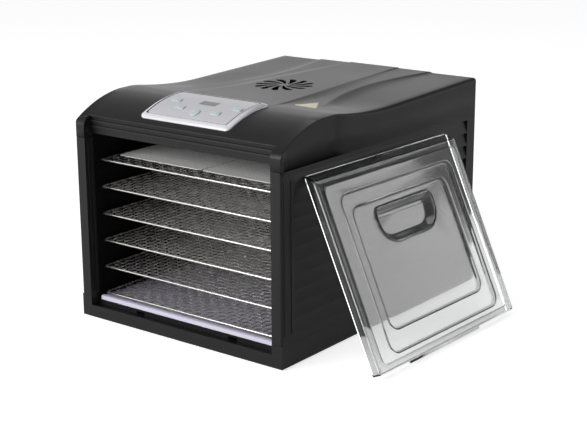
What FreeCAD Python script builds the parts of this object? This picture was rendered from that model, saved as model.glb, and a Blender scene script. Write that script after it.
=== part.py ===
import FreeCAD, Part
import Sketcher
import math
import os

# Countertop food dehydrator: a moulded housing, an air chamber with sliding wire trays, a rear
# fan and heater, a control panel on the roof, and a clear door that lifts off and leans on the
# right side. Millimetres, +Z up, front towards -Y, +X to the machine's right as its buyer faces
# it. The origin is on the floor, under the middle of the housing.

SIZES = {
    # housing
    "body_width": 345.0,
    "body_depth": 450.0,
    "foot_drop": 2.5,
    "base_height": 30.0,
    "panel_height": 218.0,
    "shell_wall": 3.0,
    "post_width": 16.5,
    "recess_depth": 16.0,
    "header_drop": 4.0,
    # base
    "sill_rise": 24.0,
    "ledge_rise": 14.0,
    "lip_rise": 16.0,
    "sill_run": 12.0,
    "foot_radius": 9.0,
    "foot_inset": 26.0,
    "foot_plug": 3.0,
    "foot_seat": 7.2,
    "slot_length": 14.0,
    "slot_height": 3.4,
    # louvred sides
    "louvre_depth": 4.5,
    "louvre_wall": 2.0,
    "louvre_base": 12.0,
    "louvre_head": 6.9,
    "louvre_front": 25.6,
    "louvre_back": 22.8,
    "groove_width": 1.8,
    "groove_depth": 1.0,
    "groove_pitch": 6.5,
    "groove_setback": 3.5,
    "rib_setback": 4.55,
    "rib_margin": 6.0,
    # roof line, seen from the side
    "roof_peak": 53.3,
    "roof_peak_back": 100.0,
    "roof_arc": 172.0,
    "roof_fall": 8.5,
    "roof_dip": 653.0,
    "roof_climb": 1.8,
    "ridge_pitch": 8.5,
    "ridge_stand": 1.5,
    "ridge_height": 3.0,
    "ridge_inset": 6.0,
    "ridge_drop": 1.0,
    # exhaust vent in the roof
    "vent_right": -10.0,
    "vent_back": 241.0,
    "vent_hub": 8.0,
    "vent_slot": 34.0,
    "vent_slot_width": 7.0,
    "vent_swirl": 28.0,
    # sculpted steps in the roof
    "step_depth": 1.6,
    "step_back": 6.0,
    "inner_step_front": 111.0,
    "inner_step_side": 97.5,
    "inner_step_side_back": 129.5,
    "inner_step_bend": 3200.0,
    "inner_step_bend_back": 800.0,
    "outer_step_front": 165.0,
    "outer_step_side": 52.5,
    "outer_step_side_back": 72.5,
    "outer_step_bend": 346.0,
    "outer_step_bend_back": -748.0,
    # small blank label on the roof
    "label_side": 48.0,
    "label_front": 135.0,
    "label_width": 36.0,
    "label_skew": 10.0,
    "label_length": 40.0,
    "label_sheet": 0.3,
    # control panel
    "bezel_half": 75.0,
    "bezel_front": 21.0,
    "bezel_back": 104.0,
    "bezel_rise": 4.0,
    "bezel_border": 7.0,
    "bezel_corner": 8.0,
    "fascia_sheet": 1.4,
    "key_length": 15.0,
    "key_width": 8.0,
    "key_corner": 1.5,
    "key_stand": 1.2,
    "key_play": 0.3,
    "key_reach": 8.0,
    "mode_across": -47.0,
    "mode_back": 43.0,
    "minus_across": -27.0,
    "minus_back": 27.0,
    "plus_across": 34.0,
    "plus_back": 25.0,
    "start_across": 56.0,
    "start_back": 41.0,
    "power_across": 4.0,
    "power_back": 20.0,
    "power_radius": 7.0,
    "window_across": 5.0,
    "window_back": 48.0,
    "window_length": 27.0,
    "window_width": 12.0,
    "window_corner": 1.0,
    "board_back": 34.0,
    "board_width": 44.0,
    "board_sheet": 1.6,
    "board_gap": 10.0,
    "board_post": 2.5,
    "board_post_inset": 5.0,
    # chamber and trays
    "tray_side_gap": 4.0,
    "tray_head_room": 4.8,
    "ledge_first": 4.1,
    "ledge_setback": 4.0,
    "air_room": 98.5,
    "rod": 3.0,
    "tray_corner": 9.0,
    "mesh_sheet": 1.2,
    "mesh_pitch": 20.0,
    "mesh_wire": 2.4,
    "tray_play": 0.3,
    "tray_setback": 21.5,
    "ledge_sheet": 1.2,
    "ledge_reach": 10.0,
    "chamber_wall": 2.0,
    "ceiling_sheet": 2.0,
    "drip_side_gap": 2.0,
    "drip_overhang": 1.0,
    "drip_rise": 2.2,
    "drip_sheet": 1.2,
    "drip_rim": 3.0,
    "drip_corner": 14.0,
    "liner_sheet": 0.6,
    "liner_corner": 3.0,
    "liner_gap": 2.0,
    "liner_side_gap": 5.0,
    "liner_front_gap": 31.0,
    "liner_back_gap": 4.0,
    # fan, motor and heater
    "air_lift": 2.0,
    "baffle_gap": 4.0,
    "baffle_sheet": 2.0,
    "air_slot": 8.0,
    "air_slot_margin": 30.0,
    "mullion_width": 8.0,
    "mullion_pitch": 80.0,
    "intake_slot": 7.0,
    "intake_bar": 8.0,
    "shroud_radius": 88.0,
    "shroud_wall": 2.5,
    "shroud_length": 54.0,
    "blade_reach": 66.0,
    "blade_root": 3.0,
    "blade_chord": 3.0,
    "blade_sweep": 14.0,
    "blade_bend": 60.0,
    "hub_radius": 16.0,
    "fan_depth": 16.0,
    "fan_gap": 4.0,
    "shaft_radius": 3.0,
    "shaft_play": 0.05,
    "shaft_seat": 14.0,
    "motor_radius": 27.0,
    "motor_length": 20.0,
    "motor_back_wall": 4.0,
    "bracket_sheet": 3.0,
    "bracket_half": 8.0,
    "bracket_play": 0.5,
    "coil_radius": 58.0,
    "coil_wire": 3.0,
    "heater_standoff": 10.0,
    "heater_bar": 9.0,
    "heater_sheet": 2.0,
    "heater_reach": 12.0,
    "heater_leg": 3.0,
    "heater_leg_out": 8.0,
    "thermostat_width": 20.0,
    "thermostat_height": 16.0,
    "thermostat_depth": 9.0,
    "thermostat_side": 4.0,
    "thermostat_drop": 14.0,
    # door, in its own closed position
    "door_play": 0.7,
    "door_head_rise": 18.8,
    "door_sheet": 2.5,
    "door_rim": 13.0,
    "door_lip_up": 8.5,
    "door_tab": 160.0,
    "door_tab_drop": 4.8,
    "door_tilt": 24.4,
    "door_yaw": -1.5,
    "door_setback": 17.6,
    "door_rest_gap": 0.5,
    "dish_step": 3.5,
    "outer_dish_side": 34.0,
    "outer_dish_foot": 17.0,
    "outer_dish_head": 27.0,
    "inner_dish_side": 55.0,
    "inner_dish_foot": 46.0,
    "inner_dish_head": 47.0,
    "dish_corner": 12.0,
    "pocket_half": 50.0,
    "pocket_from_head": 51.0,
    "pocket_drop": 45.0,
    "pocket_bend": 27.0,
    "pocket_depth": 15.0,
    # small parts
    "gland_radius": 7.0,
    "gland_bore": 3.6,
    "gland_stand": 5.0,
    "gland_flange": 3.0,
    "gland_tail": 3.0,
    "gland_inset": 40.0,
    "gland_rise": 20.0,
    "screw_radius": 1.75,
    "screw_head": 3.5,
    "screw_head_rise": 2.0,
    "screw_length": 14.0,
    "screw_boss": 6.3,
    "screw_inset_side": 26.0,
    "screw_inset_end": 62.4,
}

TRAYS = 6
LOUVRES = 11
VENT_SLOTS = 12
FAN_BLADES = 7
AIR_SLOTS = 10
RIDGES = 3

doc = FreeCAD.newDocument("dehydrator")
sheet = doc.addObject("Spreadsheet::Sheet", "Sizes")
for row, (alias, amount) in enumerate(SIZES.items(), start=1):
    sheet.set(f"A{row}", str(amount))
    sheet.setAlias(f"A{row}", alias)
doc.recompute()

LEAVES = {}


class Dim:
    """A number together with the sheet expression that gives it."""

    def __init__(self, value, text):
        self.value = value
        self.text = text

    def __add__(self, other):
        other = dim(other)
        return Dim(self.value + other.value, f"({self.text} + {other.text})")

    def __sub__(self, other):
        other = dim(other)
        return Dim(self.value - other.value, f"({self.text} - {other.text})")

    def __mul__(self, other):
        other = dim(other)
        return Dim(self.value * other.value, f"({self.text} * {other.text})")

    def __truediv__(self, other):
        other = dim(other)
        return Dim(self.value / other.value, f"({self.text} / {other.text})")

    def __neg__(self):
        return Dim(-self.value, f"(-1 * {self.text})")

    def __radd__(self, other):
        return dim(other) + self

    def __rsub__(self, other):
        return dim(other) - self

    def __rmul__(self, other):
        return dim(other) * self


def dim(amount):
    if isinstance(amount, Dim):
        return amount
    return Dim(float(amount), repr(float(amount)))


def sine(angle):
    return Dim(math.sin(math.radians(dim(angle).value)), f"sin({dim(angle).text})")


def cosine(angle):
    return Dim(math.cos(math.radians(dim(angle).value)), f"cos({dim(angle).text})")


def root(amount):
    return Dim(math.sqrt(amount.value), f"sqrt({amount.text})")


def arc_sine(ratio):
    return Dim(math.degrees(math.asin(ratio.value)), f"asin({ratio.text})")


class Sheet:
    """Reads a size by its name, as Sheet().body_width."""

    def __getattr__(self, alias):
        return Dim(float(getattr(sheet, alias)), f"Sizes.{alias}")


S = Sheet()


# ---------------------------------------------------------------- drawing helpers

def bind(item, prop, amount):
    item.setExpression(prop, dim(amount).text)


def place(item, at=(0, 0, 0), axis=(0, 0, 1), angle=0):
    item.Placement = FreeCAD.Placement(
        FreeCAD.Vector(*[dim(c).value for c in at]),
        FreeCAD.Rotation(FreeCAD.Vector(*axis), dim(angle).value),
    )
    for letter, amount in zip("xyz", at):
        bind(item, f"Placement.Base.{letter}", amount)
    if isinstance(angle, Dim):
        bind(item, "Placement.Rotation.Angle", angle)
    return item


def box(name, low, high):
    """A block between two opposite corners."""
    block = doc.addObject("Part::Box", name)
    for prop, a, b in zip(("Length", "Width", "Height"), low, high):
        bind(block, prop, dim(b) - a)
    return place(block, low)


def rod(name, radius, length, at, axis=(0, 0, 1), angle=0):
    """A cylinder from its first end, along Z before it is turned."""
    bar = doc.addObject("Part::Cylinder", name)
    bind(bar, "Radius", radius)
    bind(bar, "Height", length)
    return place(bar, at, axis, angle)


TOWARDS_BACK = {"axis": (1, 0, 0), "angle": -90}


def fuse(name, pieces, refine=True):
    joined = doc.addObject("Part::MultiFuse", name)
    joined.Shapes = pieces
    joined.Refine = refine
    return joined


def cut(name, base, tools):
    """The base less the tools; several tools are joined first."""
    whole = doc.addObject("Part::Cut", name)
    whole.Base = base
    whole.Tool = tools[0] if len(tools) == 1 else fuse(f"{name}_tools", tools)
    whole.Refine = True
    return whole


def common(name, first, second):
    both = doc.addObject("Part::Common", name)
    both.Base = first
    both.Tool = second
    both.Refine = True
    return both


PLANES = {
    "XY": FreeCAD.Rotation(),
    "XZ": FreeCAD.Rotation(FreeCAD.Vector(1, 0, 0), 90),
    "YZ": FreeCAD.Rotation(FreeCAD.Vector(1, 1, 1), 120),
}


def centre_of(a, b, radius):
    """The centre of the arc from a to b; a positive radius turns left."""
    middle = FreeCAD.Vector((a[0] + b[0]) / 2, (a[1] + b[1]) / 2, 0)
    along = FreeCAD.Vector(b[0] - a[0], b[1] - a[1], 0)
    left = FreeCAD.Vector(-along.y, along.x, 0).normalize()
    away = math.sqrt(max(radius**2 - (along.Length / 2) ** 2, 0.0))
    return middle + left * math.copysign(away, radius)


def draw(sketch, corners):
    """A closed outline tied to the sheet. A corner is (u, v), or (u, v, radius) where an arc
    of that radius leads on to the next one: positive turns left, negative turns right."""
    spots = [(dim(c[0]).value, dim(c[1]).value) for c in corners]
    count = len(corners)
    first_end = []
    last_end = []
    for i, corner in enumerate(corners):
        a = spots[i]
        b = spots[(i + 1) % count]
        if len(corner) == 2:
            sketch.addGeometry(
                Part.LineSegment(FreeCAD.Vector(*a, 0), FreeCAD.Vector(*b, 0))
            )
            first_end.append(1)
            last_end.append(2)
            continue
        radius = dim(corner[2])
        centre = centre_of(a, b, radius.value)
        start = math.atan2(a[1] - centre.y, a[0] - centre.x)
        stop = math.atan2(b[1] - centre.y, b[0] - centre.x)
        turns_left = radius.value > 0
        ends = (start, stop) if turns_left else (stop, start)
        circle = Part.Circle(centre, FreeCAD.Vector(0, 0, 1), abs(radius.value))
        sketch.addGeometry(Part.ArcOfCircle(circle, *ends))
        first_end.append(1 if turns_left else 2)
        last_end.append(2 if turns_left else 1)
    for i in range(count):
        after = (i + 1) % count
        sketch.addConstraint(
            Sketcher.Constraint("Coincident", i, last_end[i], after, first_end[after])
        )
    for i, corner in enumerate(corners):
        for kind, k in (("DistanceX", 0), ("DistanceY", 1)):
            tie = sketch.addConstraint(
                Sketcher.Constraint(kind, -1, 1, i, first_end[i], spots[i][k])
            )
            sketch.setExpression(f"Constraints[{tie}]", dim(corner[k]).text)
        if len(corner) == 3:
            radius = dim(corner[2])
            length = radius if radius.value > 0 else -radius
            tie = sketch.addConstraint(Sketcher.Constraint("Radius", i, length.value))
            sketch.setExpression(f"Constraints[{tie}]", length.text)


def plate(name, plane, corners, start, depth):
    """An outline on a main plane, moved to start along the plane's normal and given a depth.
    The normals are +Z for XY, -Y for XZ and +X for YZ."""
    sketch = doc.addObject("Sketcher::SketchObject", f"{name}_outline")
    draw(sketch, corners)
    normal = {"XY": (0, 0, 1), "XZ": (0, -1, 0), "YZ": (1, 0, 0)}[plane]
    sketch.Placement = FreeCAD.Placement(FreeCAD.Vector(), PLANES[plane])
    for letter, part in zip("xyz", normal):
        if part:
            bind(sketch, f"Placement.Base.{letter}", dim(start) * part)
    solid = doc.addObject("Part::Extrusion", name)
    solid.Base = sketch
    solid.DirMode = "Normal"
    solid.Solid = True
    bind(solid, "LengthFwd", depth)
    return solid


def rounded(u0, v0, u1, v1, radius):
    """A rectangle with round corners, anticlockwise."""
    r = dim(radius)
    return [
        (u0 + r, v0),
        (u1 - r, v0, r),
        (u1, v0 + r),
        (u1, v1 - r, r),
        (u1 - r, v1),
        (u0 + r, v1, r),
        (u0, v1 - r),
        (u0, v0 + r, r),
    ]


def body(name):
    """An empty PartDesign body and its origin planes by name."""
    item = doc.addObject("PartDesign::Body", name)
    planes = {p.Role: p for p in item.Origin.OriginFeatures}
    return item, planes


def body_sketch(item, plane, name, corners):
    sketch = item.newObject("Sketcher::SketchObject", name)
    sketch.AttachmentSupport = [(plane, "")]
    sketch.MapMode = "FlatFace"
    draw(sketch, corners)
    return sketch


def leaf(name, item):
    """Gives a finished sub-part its name."""
    item.Label = name
    LEAVES[name] = item
    return item


# ---------------------------------------------------------------- shared levels and planes

half_width = S.body_width / 2
half_depth = S.body_depth / 2
front = -half_depth
base_low = S.foot_drop
base_top = S.foot_drop + S.base_height
cover_low = base_top + S.panel_height
opening_half = half_width - S.post_width
recess_back = front + S.recess_depth
chamber_top = cover_low + S.header_drop
sill_top = base_low + S.sill_rise
ledge_top = base_low + S.ledge_rise
rear_inner = half_depth - S.shell_wall
tray_front = front + S.tray_setback
tray_width = (opening_half - S.tray_side_gap) * 2
tray_depth = S.body_depth - S.tray_setback - S.air_room
tray_pitch = (chamber_top - sill_top - S.tray_head_room) / TRAYS
baffle_front = tray_front + tray_depth + S.baffle_gap
baffle_back = baffle_front + S.baffle_sheet
air_z = (sill_top + chamber_top) / 2 + S.air_lift
louvre_pitch = (S.panel_height - S.louvre_base - S.louvre_head) / LOUVRES
door_height = cover_low + S.door_head_rise - ledge_top - S.door_tab_drop
board_length = S.bezel_half * 2
panel_inner = half_width - S.shell_wall

# ---------------------------------------------------------------- roof outline

arc_y = front + S.roof_peak_back
arc_z = cover_low + S.roof_peak - S.roof_arc
dip_start_y = arc_y + S.roof_arc * sine(S.roof_fall)
dip_y = dip_start_y + S.roof_dip * sine(S.roof_fall)
dip_z = arc_z + (S.roof_arc + S.roof_dip) * cosine(S.roof_fall)


def arc_height(y, grow=0):
    """Height of the front arc above the floor at y, grown outwards by an amount."""
    reach = S.roof_arc + grow
    away = dim(y) - arc_y
    return arc_z + root(reach * reach - away * away)


def roof_outline(y_front, y_back, z_low, grow):
    """Side view of the roof between two planes, open below at z_low. Grow is how far the
    surface lies outside the housing's own (negative for the inside)."""
    arc = S.roof_arc + grow
    dip = S.roof_dip - grow
    climb_y = dip_y + dip * sine(S.roof_climb)
    climb_z = dip_z - dip * cosine(S.roof_climb)
    slope = sine(S.roof_climb) / cosine(S.roof_climb)
    return [
        (y_front, z_low),
        (y_back, z_low),
        (y_back, climb_z + (y_back - climb_y) * slope),
        (climb_y, climb_z, -dip),
        (dip_y - dip * sine(S.roof_fall), dip_z - dip * cosine(S.roof_fall), arc),
        (y_front, arc_height(y_front, grow)),
    ]


# ---------------------------------------------------------------- base

def make_feet():
    spots = {
        "foot_front_left": (-1, -1),
        "foot_front_right": (1, -1),
        "foot_rear_left": (-1, 1),
        "foot_rear_right": (1, 1),
    }
    holes = []
    for name, (side, end) in spots.items():
        x = side * (half_width - S.foot_inset)
        y = end * (half_depth - S.foot_inset)
        pad, planes = body(f"{name}_body")
        half = [
            (0, 0),
            (S.foot_radius - 1, 0, 1),
            (S.foot_radius, 1),
            (S.foot_radius, S.foot_drop),
            (S.foot_radius / 2, S.foot_drop),
            (S.foot_radius / 2, S.foot_drop + S.foot_plug),
            (0, S.foot_drop + S.foot_plug),
        ]
        sketch = body_sketch(pad, planes["XZ_Plane"], f"{name}_half", half)
        turned = pad.newObject("PartDesign::Revolution", f"{name}_turned")
        turned.Profile = sketch
        turned.ReferenceAxis = (sketch, ["V_Axis"])
        turned.Angle = 360
        place(pad, (x, y, 0))
        leaf(name, pad)
        holes.append(rod(f"{name}_hole", S.foot_radius / 2, S.foot_plug, (x, y, base_low)))
    return holes


def screw_spots():
    x = half_width - S.screw_inset_side
    y = half_depth - S.screw_inset_end
    return [(-x, -y), (x, -y), (-x, y), (x, y)]


def make_base(foot_holes):
    outer = box("base_outer", (-half_width, front, base_low), (half_width, half_depth, base_top))
    hollow = box(
        "base_hollow",
        (-half_width + S.shell_wall, front + S.shell_wall, base_low + S.shell_wall),
        (half_width - S.shell_wall, rear_inner, base_top),
    )
    shell = cut("base_shell", outer, [hollow])
    wall = S.shell_wall
    sill = plate(
        "base_sill",
        "YZ",
        [
            (front, base_low),
            (front + wall, base_low),
            (front + wall, ledge_top - wall),
            (recess_back + wall, ledge_top - wall),
            (recess_back + wall, sill_top - wall),
            (recess_back + S.sill_run, sill_top - wall),
            (recess_back + S.sill_run, sill_top),
            (recess_back, sill_top),
            (recess_back, ledge_top),
            (front + wall, ledge_top),
            (front + wall, base_low + S.lip_rise),
            (front, base_low + S.lip_rise),
        ],
        -opening_half,
        opening_half * 2,
    )
    mouth = box(
        "base_mouth",
        (-opening_half, front - 1, base_low + S.lip_rise),
        (opening_half, front + wall, base_top + 1),
    )
    open_shell = cut("base_open_shell", shell, [mouth])
    cheeks = []
    for side in (-1, 1):
        inner = side * opening_half
        outer_x = side * (opening_half + wall)
        low, high = (outer_x, inner) if side < 0 else (inner, outer_x)
        cheeks.append(
            box(
                f"base_cheek_{side}",
                (low, front, base_low),
                (high, recess_back, base_top),
            )
        )
        cheeks.append(
            box(
                f"base_cheek_foot_{side}",
                (low, recess_back, base_low),
                (high, recess_back + wall, sill_top),
            )
        )
    bosses = []
    holes = list(foot_holes)
    for i, (x, y) in enumerate(screw_spots()):
        boss_height = S.sill_rise - S.shell_wall * 2
        at = (x, y, base_low)
        bosses.append(rod(f"base_boss_{i}", S.screw_boss, boss_height, at))
        holes.append(rod(f"base_bore_{i}", S.screw_radius, boss_height, at))
        holes.append(rod(f"base_counterbore_{i}", S.screw_head, S.screw_head_rise, at))
    seats = [
        rod(
            f"{name}_seat",
            S.foot_seat,
            S.foot_plug + S.shell_wall,
            (side * (half_width - S.foot_inset), end * (half_depth - S.foot_inset), base_low),
        )
        for name, side, end in (("fl", -1, -1), ("fr", 1, -1), ("rl", -1, 1), ("rr", 1, 1))
    ]
    for side in (-1, 1):
        middle = side * S.door_tab / 2
        holes.append(
            box(
                f"base_tab_slot_{side}",
                (middle - S.slot_length / 2, recess_back - 1, ledge_top),
                (middle + S.slot_length / 2, recess_back + wall + 1, ledge_top + S.slot_height),
            )
        )
    whole = fuse("base_whole", [open_shell, sill, *cheeks, *bosses, *seats])
    leaf("base_pan", cut("base_pan_solid", whole, holes))


def make_screws():
    screws = []
    for i, (x, y) in enumerate(screw_spots()):
        head = rod(f"screw_head_{i}", S.screw_head, S.screw_head_rise, (x, y, base_low))
        shank = rod(f"screw_shank_{i}", S.screw_radius, S.screw_length, (x, y, base_low))
        screws.append(fuse(f"screw_{i}", [head, shank]))
    group = doc.addObject("Part::Compound", "case_screws_group")
    group.Links = screws
    leaf("case_screws", group)


# ---------------------------------------------------------------- sides

def side_groove(name, side, y):
    """An upright decorative groove in the outer face of a side."""
    outer = side * half_width
    inner = side * (half_width - S.groove_depth)
    xs = (inner, outer) if side > 0 else (outer, inner)
    return box(
        name,
        (xs[0], y, base_top + S.louvre_base),
        (xs[1], y + S.groove_width, cover_low - S.louvre_base),
    )


def make_post(name, side):
    edges = (opening_half, half_width) if side > 0 else (-half_width, -opening_half)
    post = box(f"{name}_block", (edges[0], front, base_top), (edges[1], recess_back, cover_low))
    cuts = [side_groove(f"{name}_groove", side, front + S.groove_setback)]
    inner_face = opening_half if side > 0 else -opening_half
    for i in range(2):
        y = front + S.rib_setback + S.groove_pitch * i
        deep = inner_face + side * S.groove_depth
        xs = (inner_face, deep) if side > 0 else (deep, inner_face)
        cuts.append(
            box(
                f"{name}_rib_gap_{i}",
                (xs[0], y, base_top + S.rib_margin),
                (xs[1], y + S.groove_width, cover_low - S.rib_margin),
            )
        )
    leaf(name, cut(f"{name}_solid", post, cuts))


def slat_outline(side):
    """The louvred window's saw-tooth section, drawn from the front."""
    x = side * half_width
    deep = side * (half_width - S.louvre_depth)
    inner = side * (half_width - S.louvre_wall)
    inner_deep = side * (half_width - S.louvre_depth - S.louvre_wall)
    low = base_top + S.louvre_base
    outside = []
    inside = []
    for k in range(LOUVRES):
        foot = low + louvre_pitch * k
        head = low + louvre_pitch * (k + 1)
        outside.append((x, foot))
        outside.append((deep, head))
        inside.append((inner, foot + S.louvre_wall))
        inside.append((inner_deep, head + S.louvre_wall))
    top = low + louvre_pitch * LOUVRES
    inside[-1] = (inner_deep, top)
    inside[0] = (inner, low)
    return outside + inside[::-1]


def make_side_panel(name, side):
    edges = (panel_inner, half_width) if side > 0 else (-half_width, -panel_inner)
    low = base_top + S.louvre_base
    top = low + louvre_pitch * LOUVRES
    y0 = front + S.louvre_front
    y1 = half_depth - S.louvre_back
    wall = box(f"{name}_wall", (edges[0], recess_back, base_top), (edges[1], rear_inner, cover_low))
    window = box(f"{name}_window", (edges[0] - 1, y0, low), (edges[1] + 1, y1, top))
    grooves = [
        side_groove(f"{name}_groove_{i}", side, recess_back + S.groove_width + S.groove_pitch * i)
        for i in range(2)
    ]
    frame = cut(f"{name}_frame", wall, [window, *grooves])
    corners = slat_outline(side)
    slats = plate(f"{name}_slats", "XZ", corners, -y1, y1 - y0)
    deep = S.louvre_depth + S.louvre_wall
    x_in = side * (half_width - deep)
    cheeks = []
    for i, (a, b) in enumerate(((y0 - S.louvre_wall, y0), (y1, y1 + S.louvre_wall))):
        xs = (x_in, edges[1]) if side > 0 else (edges[0], x_in)
        cheeks.append(box(f"{name}_cheek_{i}", (xs[0], a, low), (xs[1], b, top)))
    xs = (x_in, panel_inner) if side > 0 else (-panel_inner, x_in)
    head = box(
        f"{name}_head",
        (xs[0], y0 - S.louvre_wall, top),
        (xs[1], y1 + S.louvre_wall, top + S.louvre_wall),
    )
    leaf(name, fuse(f"{name}_solid", [frame, slats, head, *cheeks], refine=False))


def make_rear_panel():
    panel = box(
        "rear_panel_plate",
        (-half_width, rear_inner, base_top),
        (half_width, half_depth, cover_low),
    )
    holes = []
    rings = 4
    for i in range(rings):
        outer = S.shroud_radius * ((rings - i) / (rings + 1.0))
        disc = rod(f"intake_disc_{i}", outer, S.shell_wall + 2, (0, rear_inner - 1, air_z), **TOWARDS_BACK)
        core = rod(
            f"intake_core_{i}",
            outer - S.intake_slot,
            S.shell_wall + 2,
            (0, rear_inner - 1, air_z),
            **TOWARDS_BACK,
        )
        holes.append(cut(f"intake_ring_{i}", disc, [core]))
    cross = []
    for i, turned in enumerate((45, 135)):
        bar = doc.addObject("Part::Box", f"intake_bar_{i}")
        bind(bar, "Length", S.shroud_radius * 2)
        bind(bar, "Width", S.shell_wall)
        bind(bar, "Height", S.intake_bar)
        swing = FreeCAD.Rotation(FreeCAD.Vector(0, 1, 0), turned)
        bar.Placement = FreeCAD.Placement(FreeCAD.Vector(), swing)
        half = S.shroud_radius
        deep = S.intake_bar / 2
        bind(bar, "Placement.Base.x", -half * cosine(turned) - deep * sine(turned))
        bind(bar, "Placement.Base.y", rear_inner)
        bind(bar, "Placement.Base.z", air_z + half * sine(turned) - deep * cosine(turned))
        cross.append(bar)
    gland_x = half_width - S.gland_inset
    gland_z = base_top + S.gland_rise
    gland = rod(
        "gland_hole",
        S.gland_radius,
        S.shell_wall + 2,
        (gland_x, rear_inner - 1, gland_z),
        **TOWARDS_BACK,
    )
    slotted = cut("rear_panel_slotted", panel, holes)
    barred = fuse("rear_panel_barred", [slotted, *cross])
    leaf("rear_panel", cut("rear_panel_solid", barred, [gland]))
    flange = rod(
        "gland_flange",
        S.gland_radius + S.gland_flange,
        S.gland_stand,
        (gland_x, half_depth, gland_z),
        **TOWARDS_BACK,
    )
    sleeve = rod(
        "gland_sleeve",
        S.gland_radius,
        S.shell_wall + S.gland_tail,
        (gland_x, rear_inner - S.gland_tail, gland_z),
        **TOWARDS_BACK,
    )
    bore = rod(
        "gland_bore_hole",
        S.gland_bore,
        S.shell_wall + S.gland_stand + S.gland_tail,
        (gland_x, rear_inner - S.gland_tail, gland_z),
        **TOWARDS_BACK,
    )
    leaf("cord_gland", cut("cord_gland_solid", fuse("gland_whole", [flange, sleeve]), [bore]))


# ---------------------------------------------------------------- top cover

def on_arc(x, y, out):
    """A point on the front arc's normal at y, a distance outside the roof, and the lean there."""
    lean = arc_sine((dim(y) - arc_y) / S.roof_arc)
    reach = S.roof_arc + out
    return (x, arc_y + reach * sine(lean), arc_z + reach * cosine(lean)), lean


def stub(name, corners, x, y, out, length):
    """A peg along the arc's normal, from a distance outside the roof (negative is below)."""
    peg = plate(name, "XY", corners, 0, length)
    sketch = peg.Base
    at, lean = on_arc(x, y, out)
    place(sketch, at, (1, 0, 0), -lean)
    return peg


def key_outline(grow):
    w = S.key_length / 2 + grow
    d = S.key_width / 2 + grow
    return rounded(-w, -d, w, d, S.key_corner + grow)


def round_outline(radius):
    r = dim(radius)
    return [(r, 0, r), (0, r, r), (-r, 0, r), (0, -r, r)]


def power_outline(grow):
    return round_outline(S.power_radius + grow)


def key_spots():
    y = front + S.bezel_front
    return {
        "mode_button": (S.mode_across, y + S.mode_back, key_outline),
        "minus_button": (S.minus_across, y + S.minus_back, key_outline),
        "plus_button": (S.plus_across, y + S.plus_back, key_outline),
        "start_button": (S.start_across, y + S.start_back, key_outline),
        "power_button": (S.power_across, y + S.power_back, power_outline),
    }


def vent_cutter():
    """Swirled slots round a hub, cut through the roof."""
    item, planes = body("vent_slots")
    half = S.vent_slot_width / 2
    bend = S.vent_slot * sine(S.vent_swirl)
    reach = S.vent_hub + S.vent_slot * cosine(S.vent_swirl)
    corners = [
        (S.vent_hub, -half * 0.45),
        (reach, bend - half, half * 1.3),
        (reach, bend + half),
        (S.vent_hub, half * 0.45),
    ]
    sketch = body_sketch(item, planes["XY_Plane"], "vent_slot_outline", corners)
    pad = item.newObject("PartDesign::Pad", "vent_slot_pad")
    pad.Profile = sketch
    bind(pad, "Length", S.roof_peak * 2)
    pattern = item.newObject("PartDesign::PolarPattern", "vent_slot_pattern")
    pattern.Originals = [pad]
    pattern.Axis = (planes.get("Z_Axis"), [""])
    pattern.Angle = 360
    pattern.Occurrences = VENT_SLOTS
    item.Tip = pattern
    place(item, (S.vent_right, front + S.vent_back, chamber_top + 2))
    return item


def step_outline(side, size):
    """A sculpted step from above: two arcs between its front and back ends. The first bends
    towards the middle of the roof, the second away from it, or towards it where negative."""
    y0 = front + getattr(S, f"{size}_step_front")
    x0 = side * (half_width - getattr(S, f"{size}_step_side"))
    x1 = side * (half_width - getattr(S, f"{size}_step_side_back"))
    bend = -side * getattr(S, f"{size}_step_bend")
    bend_back = -side * getattr(S, f"{size}_step_bend_back")
    return [(x0, y0, bend), (x1, half_depth - S.step_back, bend_back)]


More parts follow.
